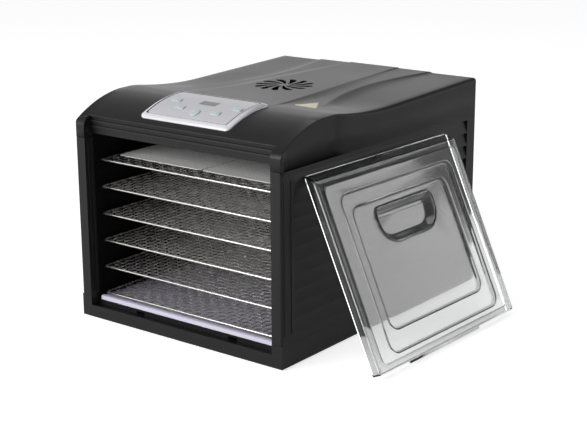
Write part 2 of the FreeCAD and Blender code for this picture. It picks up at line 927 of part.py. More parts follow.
def make_cover():
    outer = plate(
        "cover_outer",
        "YZ",
        roof_outline(front, half_depth, cover_low, 0),
        -half_width,
        S.body_width,
    )
    header_back = recess_back + S.shell_wall
    hollow = plate(
        "cover_hollow",
        "YZ",
        roof_outline(header_back, rear_inner, cover_low - 1, -S.shell_wall),
        -panel_inner,
        panel_inner * 2,
    )
    recess = box(
        "cover_recess",
        (-opening_half, front - 1, cover_low - 1),
        (opening_half, recess_back, cover_low + S.roof_peak),
    )
    throat = box(
        "cover_throat",
        (-opening_half - S.chamber_wall, recess_back, cover_low - 1),
        (opening_half + S.chamber_wall, header_back + 1, chamber_top),
    )
    tools = [hollow, recess, throat, vent_cutter()]
    for size in ("inner", "outer"):
        name = f"{size}_step"
        for side in (-1, 1):
            lens = plate(
                f"{name}_{side}_lens",
                "XY",
                step_outline(side, size),
                cover_low,
                S.roof_peak * 2,
            )
            under = plate(
                f"{name}_{side}_floor",
                "YZ",
                roof_outline(dip_start_y - 10, half_depth, cover_low - 1, -S.step_depth),
                -half_width,
                S.body_width,
            )
            tools.append(cut(f"{name}_{side}_cut", lens, [under]))
    keys = []
    for name, (x, y, shape) in key_spots().items():
        keys.append(stub(f"{name}_roof_hole", shape(S.key_play), x, y, -S.key_reach, S.key_reach + 2))
    tools += keys
    shell = cut("cover_shell", outer, tools)
    posts = []
    mid_y = front + S.bezel_front + S.board_back
    for i, (x, along) in enumerate(((-1, -1), (1, -1), (-1, 1), (1, 1))):
        at_x = x * (board_length / 2 - S.board_post_inset)
        length = S.board_gap - S.shell_wall / 2
        peg = plate(f"board_post_{i}", "XY", round_outline(S.board_post), 0, length)
        at, lean = on_arc(0, mid_y, -S.board_gap)
        shift = along * (S.board_width / 2 - S.board_post_inset)
        spot = (at_x, at[1] + shift * cosine(lean), at[2] - shift * sine(lean))
        place(peg.Base, spot, (1, 0, 0), -lean)
        posts.append(peg)
    ridges = []
    for i in range(RIDGES):
        top = arc_height(recess_back) - S.ridge_drop - S.ridge_pitch * i
        ridges.append(
            box(
                f"header_ridge_{i}",
                (-opening_half + S.ridge_inset, recess_back - S.ridge_stand, top - S.ridge_height),
                (opening_half - S.ridge_inset, recess_back, top),
            )
        )
    leaf("top_cover", fuse("top_cover_solid", [shell, *posts, *ridges]))
    at, lean = on_arc(0, mid_y, -S.board_gap - S.board_sheet)
    half = board_length / 2
    board = plate(
        "control_board_solid",
        "XY",
        [
            (-half, -S.board_width / 2),
            (half, -S.board_width / 2),
            (half, S.board_width / 2),
            (-half, S.board_width / 2),
        ],
        0,
        S.board_sheet,
    )
    place(board.Base, at, (1, 0, 0), -lean)
    leaf("control_board", board)


def arc_band(name, y0, y1, inner, outer, half):
    """A curved plate that follows the front arc between two distances outside the roof."""
    low = S.roof_arc + inner
    high = S.roof_arc + outer
    a = arc_sine((y0 - arc_y) / S.roof_arc)
    b = arc_sine((y1 - arc_y) / S.roof_arc)

    def spot(reach, lean):
        return arc_y + reach * sine(lean), arc_z + reach * cosine(lean)

    corners = [
        spot(low, a),
        (*spot(high, a), -high),
        spot(high, b),
        (*spot(low, b), low),
    ]
    return plate(name, "YZ", corners, -half, half * 2)


def make_panel():
    y0 = front + S.bezel_front
    y1 = front + S.bezel_back
    border = S.bezel_border
    whole = arc_band("bezel_whole", y0, y1, 0, S.bezel_rise, S.bezel_half)
    top_view = plate(
        "bezel_top_view",
        "XY",
        rounded(-S.bezel_half, y0 - 1, S.bezel_half, y1 + 1, S.bezel_corner),
        arc_z,
        S.roof_arc * 2,
    )
    blank = common("bezel_blank", whole, top_view)
    well = arc_band(
        "bezel_well", y0 + border, y1 - border, S.bezel_rise - S.fascia_sheet, S.bezel_rise + 5,
        S.bezel_half - border,
    )
    holes = []
    fascia_holes = []
    for name, (x, y, shape) in key_spots().items():
        holes.append(stub(f"{name}_bezel_hole", shape(S.key_play), x, y, -1, S.bezel_rise + 2))
        fascia_holes.append(stub(f"{name}_fascia_hole", shape(S.key_play), x, y, -1, S.bezel_rise + 5))
        key = stub(
            f"{name}_peg",
            shape(0),
            x,
            y,
            1 - S.key_reach,
            S.key_reach - 1 + S.bezel_rise + S.key_stand,
        )
        leaf(name, key)
    leaf("control_bezel", cut("control_bezel_solid", blank, [well, *holes]))
    sheet_y0 = y0 + border
    fascia = arc_band(
        "fascia_sheet",
        sheet_y0,
        y1 - border,
        S.bezel_rise - S.fascia_sheet,
        S.bezel_rise - S.fascia_sheet / 2,
        S.bezel_half - border,
    )
    window_y = front + S.bezel_front + S.window_back
    window_hole = window_block("window_hole", window_y)
    leaf("control_fascia", cut("control_fascia_solid", fascia, [*fascia_holes, window_hole]))
    pane = arc_band(
        "window_band",
        sheet_y0,
        y1 - border,
        S.bezel_rise - S.fascia_sheet,
        S.bezel_rise,
        S.bezel_half,
    )
    leaf("display_window", common("display_window_solid", pane, window_block("window_pane", window_y)))


def window_block(name, y):
    half = S.window_length / 2
    deep = S.window_width / 2
    corners = rounded(-half, -deep, half, deep, S.window_corner)
    return stub(name, corners, S.window_across, y, 0, S.bezel_rise + 4)


def make_label():
    x0 = half_width - S.label_side
    y0 = front + S.label_front
    skin = plate(
        "label_skin",
        "YZ",
        roof_outline(dip_start_y - 10, half_depth - 20, cover_low, S.label_sheet),
        -half_width,
        S.body_width,
    )
    under = plate(
        "label_under",
        "YZ",
        roof_outline(dip_start_y - 10, half_depth - 20, cover_low, 0),
        -half_width,
        S.body_width,
    )
    triangle = plate(
        "label_triangle",
        "XY",
        [
            (x0 - S.label_width, y0),
            (x0, y0),
            (x0 - S.label_width + S.label_skew, y0 + S.label_length),
        ],
        cover_low + S.label_sheet,
        S.roof_peak * 2,
    )
    film = cut("label_film", skin, [under])
    leaf("blank_label", common("blank_label_solid", film, triangle))


# ---------------------------------------------------------------- chamber

def ledge_under(k):
    """Top face of the ledge that carries tray k."""
    return sill_top + S.ledge_first + tray_pitch * k


def tray_low(k):
    return ledge_under(k) + S.tray_play


def make_chamber():
    wall = S.chamber_wall
    for name, side in (("inner_wall_left", -1), ("inner_wall_right", 1)):
        inner = side * opening_half
        outer = side * (opening_half + wall)
        xs = (inner, outer) if side > 0 else (outer, inner)
        panel = box(
            f"{name}_panel",
            (xs[0], recess_back, sill_top),
            (xs[1], baffle_front, chamber_top),
        )
        pieces = [panel]
        reach = side * (opening_half - S.ledge_reach)
        xs = (reach, inner) if side > 0 else (inner, reach)
        for k in range(TRAYS):
            top = ledge_under(k)
            pieces.append(
                box(
                    f"{name}_ledge_{k}",
                    (xs[0], tray_front + S.ledge_setback, top - S.ledge_sheet),
                    (xs[1], baffle_front, top),
                )
            )
        leaf(name, fuse(f"{name}_solid", pieces))
    half = opening_half + wall
    leaf(
        "chamber_floor",
        box(
            "chamber_floor_plate",
            (-half, recess_back + S.sill_run, sill_top - wall),
            (half, baffle_front, sill_top),
        ),
    )
    leaf(
        "chamber_ceiling",
        box(
            "chamber_ceiling_plate",
            (-half, recess_back + S.shell_wall, chamber_top),
            (half, baffle_back, chamber_top + S.ceiling_sheet),
        ),
    )
    plate_box = box(
        "baffle_plate", (-half, baffle_front, sill_top - wall), (half, baffle_back, chamber_top)
    )
    slots = []
    pitch = (chamber_top - sill_top) / (AIR_SLOTS + 1.0)
    for i in range(AIR_SLOTS):
        z = sill_top + pitch * (i + 1)
        slots.append(
            box(
                f"air_slot_{i}",
                (-opening_half + S.air_slot_margin, baffle_front - 1, z - S.air_slot / 2),
                (opening_half - S.air_slot_margin, baffle_back + 1, z + S.air_slot / 2),
            )
        )
    mullions = []
    deep = S.mullion_width / 2
    for i in (-1, 0, 1):
        x = S.mullion_pitch * i
        mullions.append(
            box(
                f"air_mullion_{i}",
                (x - deep, baffle_front, sill_top),
                (x + deep, baffle_back, chamber_top),
            )
        )
    grille = cut("baffle_slotted", plate_box, slots)
    leaf("rear_baffle", fuse("rear_baffle_solid", [grille, *mullions]))


def make_trays():
    half = tray_width / 2
    for k in range(TRAYS):
        low = tray_low(k)
        number = k + 1
        y0 = tray_front
        y1 = tray_front + tray_depth
        outer = plate(
            f"tray_{number}_outer", "XY", rounded(-half, y0, half, y1, S.tray_corner), low, S.rod
        )
        inner = plate(
            f"tray_{number}_inner",
            "XY",
            rounded(-half + S.rod, y0 + S.rod, half - S.rod, y1 - S.rod, S.tray_corner - S.rod),
            low - 1,
            S.rod + 2,
        )
        leaf(f"tray_frame_{number}", cut(f"tray_{number}_frame", outer, [inner]))
        leaf(f"tray_mesh_{number}", tray_mesh(f"tray_{number}_mesh", low))


def tray_mesh(name, low):
    """A flat grid that fills the tray's frame, welded to it all round."""
    grid = doc.addObject("Part::Feature", name)
    rim = S.rod.value
    half = tray_width.value / 2 - rim
    y0 = tray_front.value + rim
    y1 = tray_front.value + tray_depth.value - rim
    corner = S.tray_corner.value - rim
    sheet_z = low.value + (S.rod.value - S.mesh_sheet.value) / 2
    columns = round(2 * half / S.mesh_pitch.value)
    rows = round((y1 - y0) / S.mesh_pitch.value)
    step_x = 2 * half / columns
    step_y = (y1 - y0) / rows
    wire = S.mesh_wire.value
    slab = Part.makeBox(2 * half, y1 - y0, S.mesh_sheet.value, FreeCAD.Vector(-half, y0, sheet_z))
    uprights = [e for e in slab.Edges if abs(e.Vertexes[0].Z - e.Vertexes[1].Z) > 0.5]
    slab = slab.makeFillet(corner, uprights)
    outline = [f for f in slab.Faces if f.normalAt(0, 0).z < -0.9][0].OuterWire
    holes = []
    for i in range(columns):
        for j in range(rows):
            x = -half + step_x * i + wire / 2
            y = y0 + step_y * j + wire / 2
            a = FreeCAD.Vector(x, y, sheet_z)
            b = FreeCAD.Vector(x + step_x - wire, y, sheet_z)
            c = FreeCAD.Vector(x + step_x - wire, y + step_y - wire, sheet_z)
            d = FreeCAD.Vector(x, y + step_y - wire, sheet_z)
            edge_cell = i in (0, columns - 1) and j in (0, rows - 1)
            if edge_cell and corner > wire:
                continue
            holes.append(Part.makePolygon([a, b, c, d, a]))
    face = Part.Face([outline, *holes], "Part::FaceMakerBullseye")
    grid.Shape = face.extrude(FreeCAD.Vector(0, 0, S.mesh_sheet.value))
    return grid


def make_drip_tray():
    half = opening_half - S.drip_side_gap
    low = sill_top + S.tray_play
    y0 = tray_front - S.drip_overhang
    y1 = tray_front + tray_depth + S.drip_overhang
    rim = S.drip_rim
    outer = plate("drip_outer", "XY", rounded(-half, y0, half, y1, S.drip_corner), low, S.drip_rise)
    hollow = plate(
        "drip_hollow",
        "XY",
        rounded(-half + rim, y0 + rim, half - rim, y1 - rim, S.drip_corner - rim),
        low + S.drip_sheet,
        S.drip_rise,
    )
    leaf("drip_tray", cut("drip_tray_solid", outer, [hollow]))


def make_liners():
    top = tray_low(TRAYS - 1) + (S.rod + S.mesh_sheet) / 2
    y0 = tray_front + S.liner_front_gap
    y1 = tray_front + tray_depth - S.rod - S.liner_back_gap
    outer_half = tray_width / 2 - S.liner_side_gap
    corner = S.liner_corner
    for name, side in (("liner_sheet_left", -1), ("liner_sheet_right", 1)):
        inner = side * S.liner_gap / 2
        outer = side * outer_half
        xs = (inner, outer) if side > 0 else (outer, inner)
        leaf(
            name,
            plate(f"{name}_film", "XY", rounded(xs[0], y0, xs[1], y1, corner), top, S.liner_sheet),
        )


# ---------------------------------------------------------------- fan and heater

def ring(name, outer, inner, y, length):
    disc = rod(f"{name}_disc", outer, length, (0, y, air_z), **TOWARDS_BACK)
    core = rod(f"{name}_core", inner, length + 2, (0, y - 1, air_z), **TOWARDS_BACK)
    return cut(name, disc, [core])


def make_fan():
    duct_front = rear_inner - S.shroud_length
    outer = S.shroud_radius + S.shroud_wall
    leaf("fan_shroud", ring("fan_shroud_ring", outer, S.shroud_radius, duct_front, S.shroud_length))

    motor_back = rear_inner - S.bracket_sheet
    motor_front = motor_back - S.motor_length
    can = rod("motor_can", S.motor_radius, S.motor_length, (0, motor_front, air_z), **TOWARDS_BACK)
    bore = rod(
        "motor_bore",
        S.shaft_radius + S.shaft_play,
        S.motor_length - S.motor_back_wall,
        (0, motor_front, air_z),
        **TOWARDS_BACK,
    )
    leaf("fan_motor", cut("fan_motor_solid", can, [bore]))
    arm = S.shroud_radius - S.bracket_play
    bars = []
    for i in range(2):
        wide = (arm, S.bracket_half) if i == 0 else (S.bracket_half, arm)
        bars.append(
            box(
                f"bracket_bar_{i}",
                (-wide[0], motor_back, air_z - wide[1]),
                (wide[0], rear_inner, air_z + wide[1]),
            )
        )
    leaf("motor_bracket", fuse("motor_bracket_solid", bars))

    fan_front = motor_front - S.fan_gap - S.fan_depth
    leaf(
        "motor_shaft",
        rod(
            "motor_shaft_bar",
            S.shaft_radius,
            S.fan_depth + S.fan_gap + S.shaft_seat,
            (0, fan_front, air_z),
            **TOWARDS_BACK,
        ),
    )
    item, planes = body("fan_body")
    hub_sketch = body_sketch(item, planes["XY_Plane"], "fan_hub_outline", round_outline(S.hub_radius))
    hub = item.newObject("PartDesign::Pad", "fan_hub")
    hub.Profile = hub_sketch
    bind(hub, "Length", S.fan_depth)
    inner = S.hub_radius - 2
    blade_corners = [
        (inner, -S.blade_root / 3),
        (S.blade_reach, S.blade_sweep, S.blade_bend),
        (S.blade_reach - 1, S.blade_sweep + S.blade_chord),
        (inner, S.blade_root * 2 / 3),
    ]
    blade_sketch = body_sketch(item, planes["XY_Plane"], "fan_blade_outline", blade_corners)
    blade = item.newObject("PartDesign::Pad", "fan_blade")
    blade.Profile = blade_sketch
    bind(blade, "Length", S.fan_depth)
    pattern = item.newObject("PartDesign::PolarPattern", "fan_blades")
    pattern.Originals = [blade]
    pattern.Axis = (planes["Z_Axis"], [""])
    pattern.Angle = 360
    pattern.Occurrences = FAN_BLADES
    bore_sketch = body_sketch(item, planes["XY_Plane"], "fan_bore_outline", round_outline(S.shaft_radius))
    through = item.newObject("PartDesign::Pocket", "fan_bore")
    through.Profile = bore_sketch
    through.Type = 1
    through.Reversed = True
    item.Tip = through
    place(item, (0, fan_front, air_z), **TOWARDS_BACK)
    leaf("fan_impeller", item)


def make_heater():
    front_y = baffle_back + S.heater_standoff
    bar = S.heater_bar
    sheet_y = front_y + S.heater_sheet
    arms = []
    reach = S.coil_radius + S.heater_reach
    for i, wide in enumerate(((reach, bar / 2), (bar / 2, reach))):
        arms.append(
            box(
                f"heater_arm_{i}",
                (-wide[0], front_y, air_z - wide[1]),
                (wide[0], sheet_y, air_z + wide[1]),
            )
        )
    stand = []
    leg_out = S.coil_radius + S.heater_leg_out
    for i, (x, z) in enumerate(((-1, 0), (1, 0), (0, -1), (0, 1))):
        stand.append(
            rod(
                f"heater_stand_{i}",
                S.heater_leg,
                S.heater_standoff,
                (x * leg_out, baffle_back, air_z + z * leg_out),
                **TOWARDS_BACK,
            )
        )
    leaf("heater_frame", fuse("heater_frame_solid", [*arms, *stand]))
    coil = doc.addObject("Part::Torus", "heating_coil_ring")
    bind(coil, "Radius1", S.coil_radius)
    bind(coil, "Radius2", S.coil_wire)
    place(coil, (0, sheet_y + S.coil_wire, air_z), (1, 0, 0), 90)
    leaf("heating_coil", coil)
    x1 = opening_half - S.thermostat_side
    z1 = chamber_top - S.thermostat_drop
    leaf(
        "thermostat",
        box(
            "thermostat_block",
            (x1 - S.thermostat_width, baffle_back, z1 - S.thermostat_height),
            (x1, baffle_back + S.thermostat_depth, z1),
        ),
    )


# ---------------------------------------------------------------- door

def make_door():
    """The door is drawn closed round its own middle: X across, Z up from its lower edge, its
    front face on Y = 0 and its rim towards +Y. It is then leaned on the right side."""
    half = opening_half - S.door_play
    tall = door_height
    pocket_top = tall - S.pocket_from_head
    thick = S.door_sheet
    corners = [(-half, 0), (half, 0), (half, tall), (-half, tall)]
    face = plate("door_face", "XZ", corners, -thick, thick)

    def dish(name, side, foot, head, level, grow):
        """A block that fills a dished step from the front face to its level."""
        corners = rounded(
            -half + side + grow, foot + grow, half - side - grow, tall - head - grow, S.dish_corner
        )
        return plate(name, "XZ", corners, -level, level + 1)

    steps = [
        ("outer_dish", S.outer_dish_side, S.outer_dish_foot, S.outer_dish_head, S.dish_step),
        ("inner_dish", S.inner_dish_side, S.inner_dish_foot, S.inner_dish_head, S.dish_step * 2),
    ]
    solids = [face]
    hollows = []
    for name, side, foot, head, level in steps:
        solids.append(dish(f"{name}_pan", side, foot, head, level + thick, 0))
        hollows.append(dish(f"{name}_hollow", side, foot, head, level, thick * 0.8))

    def pocket(name, grow, level, extend):
        bend = S.pocket_bend + grow
        span = S.pocket_half + grow
        floor = pocket_top - S.pocket_drop - grow
        corners = [
            (-span, pocket_top + grow),
            (-span, floor + bend, bend),
            (-span + bend, floor),
            (span - bend, floor, bend),
            (span, floor + bend),
            (span, pocket_top + grow),
        ]
        return plate(name, "XZ", corners, -level, level + extend)

    solids.append(pocket("pocket_cup", 0, S.pocket_depth + thick, -S.dish_step))
    hollows.append(pocket("pocket_hollow", -thick, S.pocket_depth, 1))

    for side in (-1, 1):
        xs = (half - thick, half) if side > 0 else (-half, -half + thick)
        edge = [
            (0, 0),
            (S.door_rim, 0),
            (S.door_rim, tall + S.door_lip_up),
            (0, tall),
        ]
        solids.append(plate(f"door_rim_{side}", "YZ", edge, xs[0], thick))
    lip = plate(
        "door_lip",
        "YZ",
        [
            (dim(0), tall - thick * 1.2),
            (S.door_rim, tall + S.door_lip_up - thick * 1.2),
            (S.door_rim, tall + S.door_lip_up),
            (dim(0), tall),
        ],
        -half,
        half * 2,
    )
    sole = box("door_sole", (-half, 0, 0), (half, S.door_rim, thick))
    tab = box(
        "door_foot_tab",
        (-S.door_tab / 2, S.door_rim - thick, -S.door_tab_drop),
        (S.door_tab / 2, S.door_rim, thick),
    )
    whole = fuse("door_whole", [*solids, lip, sole, tab])
    return cut("door_solid", whole, hollows)


def lean_door(door):
    """Turns the closed door to face +X, tips its head into the louvre slat at its height, and
    sets its lower corner on the floor."""
    tilt = S.door_tilt
    yaw = 90 + S.door_yaw.value
    upright = FreeCAD.Rotation(FreeCAD.Vector(0, 0, 1), yaw)
    tipped = FreeCAD.Rotation(FreeCAD.Vector(1, 0, 0), -tilt.value)
    turn = upright.multiply(tipped)
    shape = door.Shape.copy()
    shape.Placement = FreeCAD.Placement(FreeCAD.Vector(), turn)
    reach = shape.optimalBoundingBox(False)
    slats_low = (base_top + S.louvre_base).value
    climbed = (reach.ZMax - reach.ZMin - slats_low) / louvre_pitch.value
    slat_recess = S.louvre_depth.value * (climbed - math.floor(climbed))
    leaning = doc.addObject("Part::Feature", "door_leaning")
    leaning.Shape = door.Shape
    spot = FreeCAD.Vector(
        half_width.value - slat_recess + S.door_rest_gap.value - reach.XMin,
        (front + S.louvre_front + S.door_setback).value - reach.YMin,
        -reach.ZMin,
    )
    leaning.Placement = FreeCAD.Placement(spot, turn)
    leaf("door_panel", leaning)


# ---------------------------------------------------------------- build

make_base(make_feet())
make_screws()
for side_name, side_sign in (("left", -1), ("right", 1)):
    make_post(f"front_post_{side_name}", side_sign)
    make_side_panel(f"side_panel_{side_name}", side_sign)
make_rear_panel()
make_cover()
make_panel()
make_label()
make_chamber()
make_trays()
make_drip_tray()
make_liners()
make_fan()
make_heater()
door_closed = make_door()
doc.recompute()
lean_door(door_closed)
doc.recompute()

faults = [o.Name for o in doc.Objects if {"Invalid", "Error"} & set(o.State)]
if faults:
    raise SystemExit(f"objects that failed: {faults}")
for name, item in LEAVES.items():
    shape = item.Shape
    if shape.isNull() or not shape.isValid() or not shape.Solids:
        raise SystemExit(f"bad shape: {name}")

os.makedirs("parts", exist_ok=True)
for name, item in LEAVES.items():
    item.Shape.exportStep(f"parts/{name}.step")
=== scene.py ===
import math

import bmesh
import bpy
from bpy.props import FloatProperty, FloatVectorProperty, IntProperty, PointerProperty
from mathutils import Euler, Matrix, Vector


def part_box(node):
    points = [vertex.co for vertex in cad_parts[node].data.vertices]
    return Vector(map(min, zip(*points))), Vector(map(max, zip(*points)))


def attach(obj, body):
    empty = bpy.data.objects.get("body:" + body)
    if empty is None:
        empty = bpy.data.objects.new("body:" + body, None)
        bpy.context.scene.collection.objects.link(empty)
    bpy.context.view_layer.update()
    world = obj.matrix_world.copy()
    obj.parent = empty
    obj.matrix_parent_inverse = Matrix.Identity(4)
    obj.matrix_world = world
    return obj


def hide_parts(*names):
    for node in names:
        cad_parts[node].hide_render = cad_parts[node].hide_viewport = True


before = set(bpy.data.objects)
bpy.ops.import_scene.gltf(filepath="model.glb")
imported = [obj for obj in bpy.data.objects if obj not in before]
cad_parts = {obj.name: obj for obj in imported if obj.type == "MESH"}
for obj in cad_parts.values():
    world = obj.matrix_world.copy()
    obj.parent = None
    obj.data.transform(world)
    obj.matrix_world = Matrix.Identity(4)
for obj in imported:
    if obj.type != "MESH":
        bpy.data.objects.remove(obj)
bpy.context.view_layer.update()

bl_info = {
    "name": "Food Dehydrator Builder",
    "version": (1, 0, 0),
    "blender": (4, 5, 0),
    "location": "View3D > Sidebar > Dehydrator",
    "description": "Builds the detailed shell, racks, panel and clear door of a six-tray dehydrator",
    "category": "Object",
}

MM = 0.001
SAME_SPOT = 1e-5  # metres: nearer than this is the same place


# ---------------------------------------------------------------- sizes and colours

class CabinetLook(bpy.types.PropertyGroup):
    """Sizes and colours of the black plastic cabinet."""
    plastic_colour: FloatVectorProperty(
        name="Plastic colour", description="Colour of the moulded case",
        default=(0.0065, 0.0065, 0.0066), subtype="COLOR", min=0, max=1)
    plastic_rough: FloatProperty(
        name="Plastic roughness", description="How matt the moulded case is",
        default=0.42, min=0, max=1)
    edge_round: FloatProperty(
        name="Edge rounding", description="Rounding of the case's moulded edges",
        default=0.0007, unit="LENGTH", min=0.0001, max=0.002)
    shell_thickness: FloatProperty(
        name="Shell thickness", description="Wall of the roof moulding",
        default=0.0026, unit="LENGTH", min=0.001, max=0.004)
    arc_radius: FloatProperty(
        name="Brow radius", description="Radius of the roof's front arc",
        default=0.172, unit="LENGTH")
    arc_back: FloatProperty(
        name="Brow depth", description="From the front of the case to the top of the arc",
        default=0.1, unit="LENGTH")


class VentLook(bpy.types.PropertyGroup):
    """Sizes of the swirled vent in the roof."""
    centre: FloatVectorProperty(
        name="Vent centre", description="Middle of the vent, across and from the front",
        default=(-0.010, 0.241), size=2, unit="LENGTH")
    hub: FloatProperty(name="Hub radius", description="Solid middle", default=0.008, unit="LENGTH")
    reach: FloatProperty(name="Reach", description="Outer radius", default=0.041, unit="LENGTH")
    blades: IntProperty(name="Slots", description="Number of slots", default=12, min=3, max=24)
    swirl: FloatProperty(
        name="Swirl", description="How far each slot turns", default=math.radians(20), subtype="ANGLE")


class PanelLook(bpy.types.PropertyGroup):
    """Sizes and colours of the control panel."""
    silver: FloatVectorProperty(
        name="Frame colour", description="Silver plastic of the panel's frame",
        default=(0.62, 0.62, 0.65), subtype="COLOR", min=0, max=1)
    film: FloatVectorProperty(
        name="Film colour", description="Grey film of the panel's face",
        default=(0.50, 0.50, 0.53), subtype="COLOR", min=0, max=1)
    key: FloatVectorProperty(
        name="Key colour", description="Pale keys", default=(0.46, 0.52, 0.54),
        subtype="COLOR", min=0, max=1)


class RackLook(bpy.types.PropertyGroup):
    """Sizes and colours of the wire trays and what lies on them."""
    rod: FloatProperty(
        name="Rod thickness", description="Wire of the tray's frame", default=0.003, unit="LENGTH")
    strand: FloatProperty(
        name="Strand thickness", description="Wire of the woven mesh", default=0.00115, unit="LENGTH")
    pitch: FloatProperty(
        name="Mesh pitch", description="Between two strands", default=0.010, unit="LENGTH")
    crimp: FloatProperty(
        name="Crimp", description="How far a strand weaves over and under",
        default=0.00088, unit="LENGTH")
    steel: FloatVectorProperty(
        name="Steel colour", description="Stainless wire", default=(0.70, 0.69, 0.67),
        subtype="COLOR", min=0, max=1)
    drip: FloatVectorProperty(
        name="Drip tray colour", description="Tray under the racks", default=(0.52, 0.50, 0.60),
        subtype="COLOR", min=0, max=1)
    liner: FloatVectorProperty(
        name="Liner colour", description="Sheets on the top tray", default=(0.84, 0.84, 0.83),
        subtype="COLOR", min=0, max=1)


class DoorLook(bpy.types.PropertyGroup):
    """Sizes and colours of the clear door."""
    tint: FloatVectorProperty(
        name="Tint", description="Colour of the clear plastic", default=(0.97, 0.98, 0.975),
        subtype="COLOR", min=0, max=1)
    sheet: FloatProperty(
        name="Sheet thickness", description="Wall of the door", default=0.0024, unit="LENGTH")
    rim: FloatProperty(name="Rim depth", description="Front to back", default=0.013, unit="LENGTH")
    lip: FloatProperty(
        name="Lip", description="How far the head's lip rises", default=0.0085, unit="LENGTH")
    tilt: FloatProperty(
        name="Lean", description="How far the door leans", default=math.radians(24.4), subtype="ANGLE")
    yaw: FloatProperty(
        name="Turn", description="How far the door is turned from the case's side",
        default=math.radians(-1.5), subtype="ANGLE")


class StudioLook(bpy.types.PropertyGroup):
    """Floor, light and camera."""
    floor: FloatVectorProperty(
        name="Floor colour", description="Pale plain floor", default=(0.6, 0.6, 0.6),
        subtype="COLOR", min=0, max=1)
    key_power: FloatProperty(name="Front light", description="Softbox before the case", default=60)
    rear_power: FloatProperty(
        name="Rear light", description="Softbox that the leaning door mirrors", default=7.5)
    lens: FloatProperty(name="Lens", description="Focal length in millimetres", default=85)
    spot: FloatVectorProperty(
        name="Camera place", description="Where the camera stands",
        default=(1.15039, -1.47003, 0.64127), subtype="TRANSLATION", unit="LENGTH")
    turn: FloatVectorProperty(
        name="Camera turn", description="How the camera is turned",
        default=(math.radians(74.22), math.radians(0.25), math.radians(37.55)), subtype="EULER")


LOOKS = {
    "dehydrator_cabinet": CabinetLook,
    "dehydrator_vent": VentLook,
    "dehydrator_panel": PanelLook,
    "dehydrator_racks": RackLook,
    "dehydrator_door": DoorLook,
    "dehydrator_studio": StudioLook,
}


# ---------------------------------------------------------------- finishes

def new_group(name, inputs, outputs):
    """An empty shader node group. A default of four numbers is a colour and one of three a vector."""
    group = bpy.data.node_groups.new(name, "ShaderNodeTree")
    kinds = {4: "NodeSocketColor", 3: "NodeSocketVector"}
    for label, value in inputs.items():
        kind = kinds[len(value)] if isinstance(value, tuple) else "NodeSocketFloat"
        socket = group.interface.new_socket(label, in_out="INPUT", socket_type=kind)
        socket.default_value = value
    for label in outputs:
        kind = "NodeSocketColor" if label == "Color" else "NodeSocketFloat"
        group.interface.new_socket(label, in_out="OUTPUT", socket_type=kind)
    return group, group.nodes.new("NodeGroupInput"), group.nodes.new("NodeGroupOutput")


def add_node(tree, kind, inputs=None, **settings):
    """A new shader node with its settings. Inputs are plain values, or sockets that feed it."""
    node = tree.nodes.new(f"ShaderNode{kind}")
    for name, value in settings.items():
        setattr(node, name, value)
    for socket, value in (inputs or {}).items():
        if isinstance(value, bpy.types.NodeSocket):
            tree.links.new(value, node.inputs[socket])
        else:
            node.inputs[socket].default_value = value
    return node


def mixer(tree, kind, factor, a, b):
    """A Mix node of colours or floats, fed by sockets."""
    first, second, result = {"FLOAT": (2, 3, 0), "RGBA": (6, 7, 2)}[kind]
    return add_node(tree, "Mix", {0: factor, first: a, second: b}, data_type=kind).outputs[result]


PATCH_SHARE = 0.65  # how much of the tone and gloss the soft patches decide, the grain the rest


def grain_group():
    """Moulded or rolled surface: two tones in soft patches, uneven gloss and a fine height."""
    group, head, tail = new_group("Surface grain", {
        "Tone A": (0.5, 0.5, 0.5, 1), "Tone B": (0.4, 0.4, 0.4, 1), "Patch": 12.0, "Grain": 900.0,
        "Stretch": (1, 1, 1), "Gloss low": 0.3, "Gloss high": 0.5,
    }, ("Color", "Roughness", "Height"))
    given = head.outputs
    place = add_node(group, "TexCoord").outputs["Object"]
    place = add_node(group, "Mapping", {"Vector": place, "Scale": given["Stretch"]}).outputs[0]
    patch, fine = (
        add_node(group, "TexNoise", {
            "Detail": detail, "Vector": place, "Scale": given[scale]}).outputs["Fac"]
        for scale, detail in (("Patch", 3.0), ("Grain", 2.0)))
    coarse = add_node(group, "Math", {0: patch, 1: PATCH_SHARE}, operation="MULTIPLY").outputs[0]
    both = add_node(group, "Math", {
        0: fine, 1: 1 - PATCH_SHARE, 2: coarse}, operation="MULTIPLY_ADD").outputs[0]
    tone = mixer(group, "RGBA", both, given["Tone A"], given["Tone B"])
    gloss = mixer(group, "FLOAT", both, given["Gloss low"], given["Gloss high"])
    for result, socket in ((tone, "Color"), (gloss, "Roughness"), (fine, "Height")):
        group.links.new(result, tail.inputs[socket])
    return group


def dust_group():
    """Faint dust on what faces up: takes a colour and gives it back a little paler in patches."""
    group, head, tail = new_group("Light dust", {
        "Color": (0.5, 0.5, 0.5, 1), "Dust": (0.5, 0.49, 0.46, 1), "Amount": 0.03}, ("Color",))
    place = add_node(group, "TexCoord").outputs["Object"]
    noise = add_node(group, "TexNoise", {"Scale": 38.0, "Detail": 6.0, "Vector": place}).outputs["Fac"]
    split = add_node(group, "SeparateXYZ", {0: add_node(group, "NewGeometry").outputs["Normal"]})
    up = add_node(
        group, "Math", {0: split.outputs["Z"], 1: noise}, operation="MULTIPLY", use_clamp=True)
    scaled = add_node(
        group, "Math", {0: up.outputs[0], 1: head.outputs["Amount"]}, operation="MULTIPLY")
    tone = mixer(group, "RGBA", scaled.outputs[0], head.outputs["Color"], head.outputs["Dust"])
    group.links.new(tone, tail.inputs["Color"])
    return group


GLOSS_SPREAD = 0.06  # roughness either side of a finish's own


def shade(colour, factor):
    """The colour made lighter or darker, with its alpha."""
    return tuple(min(1.0, c * factor) for c in colour[:3]) + (1.0,)


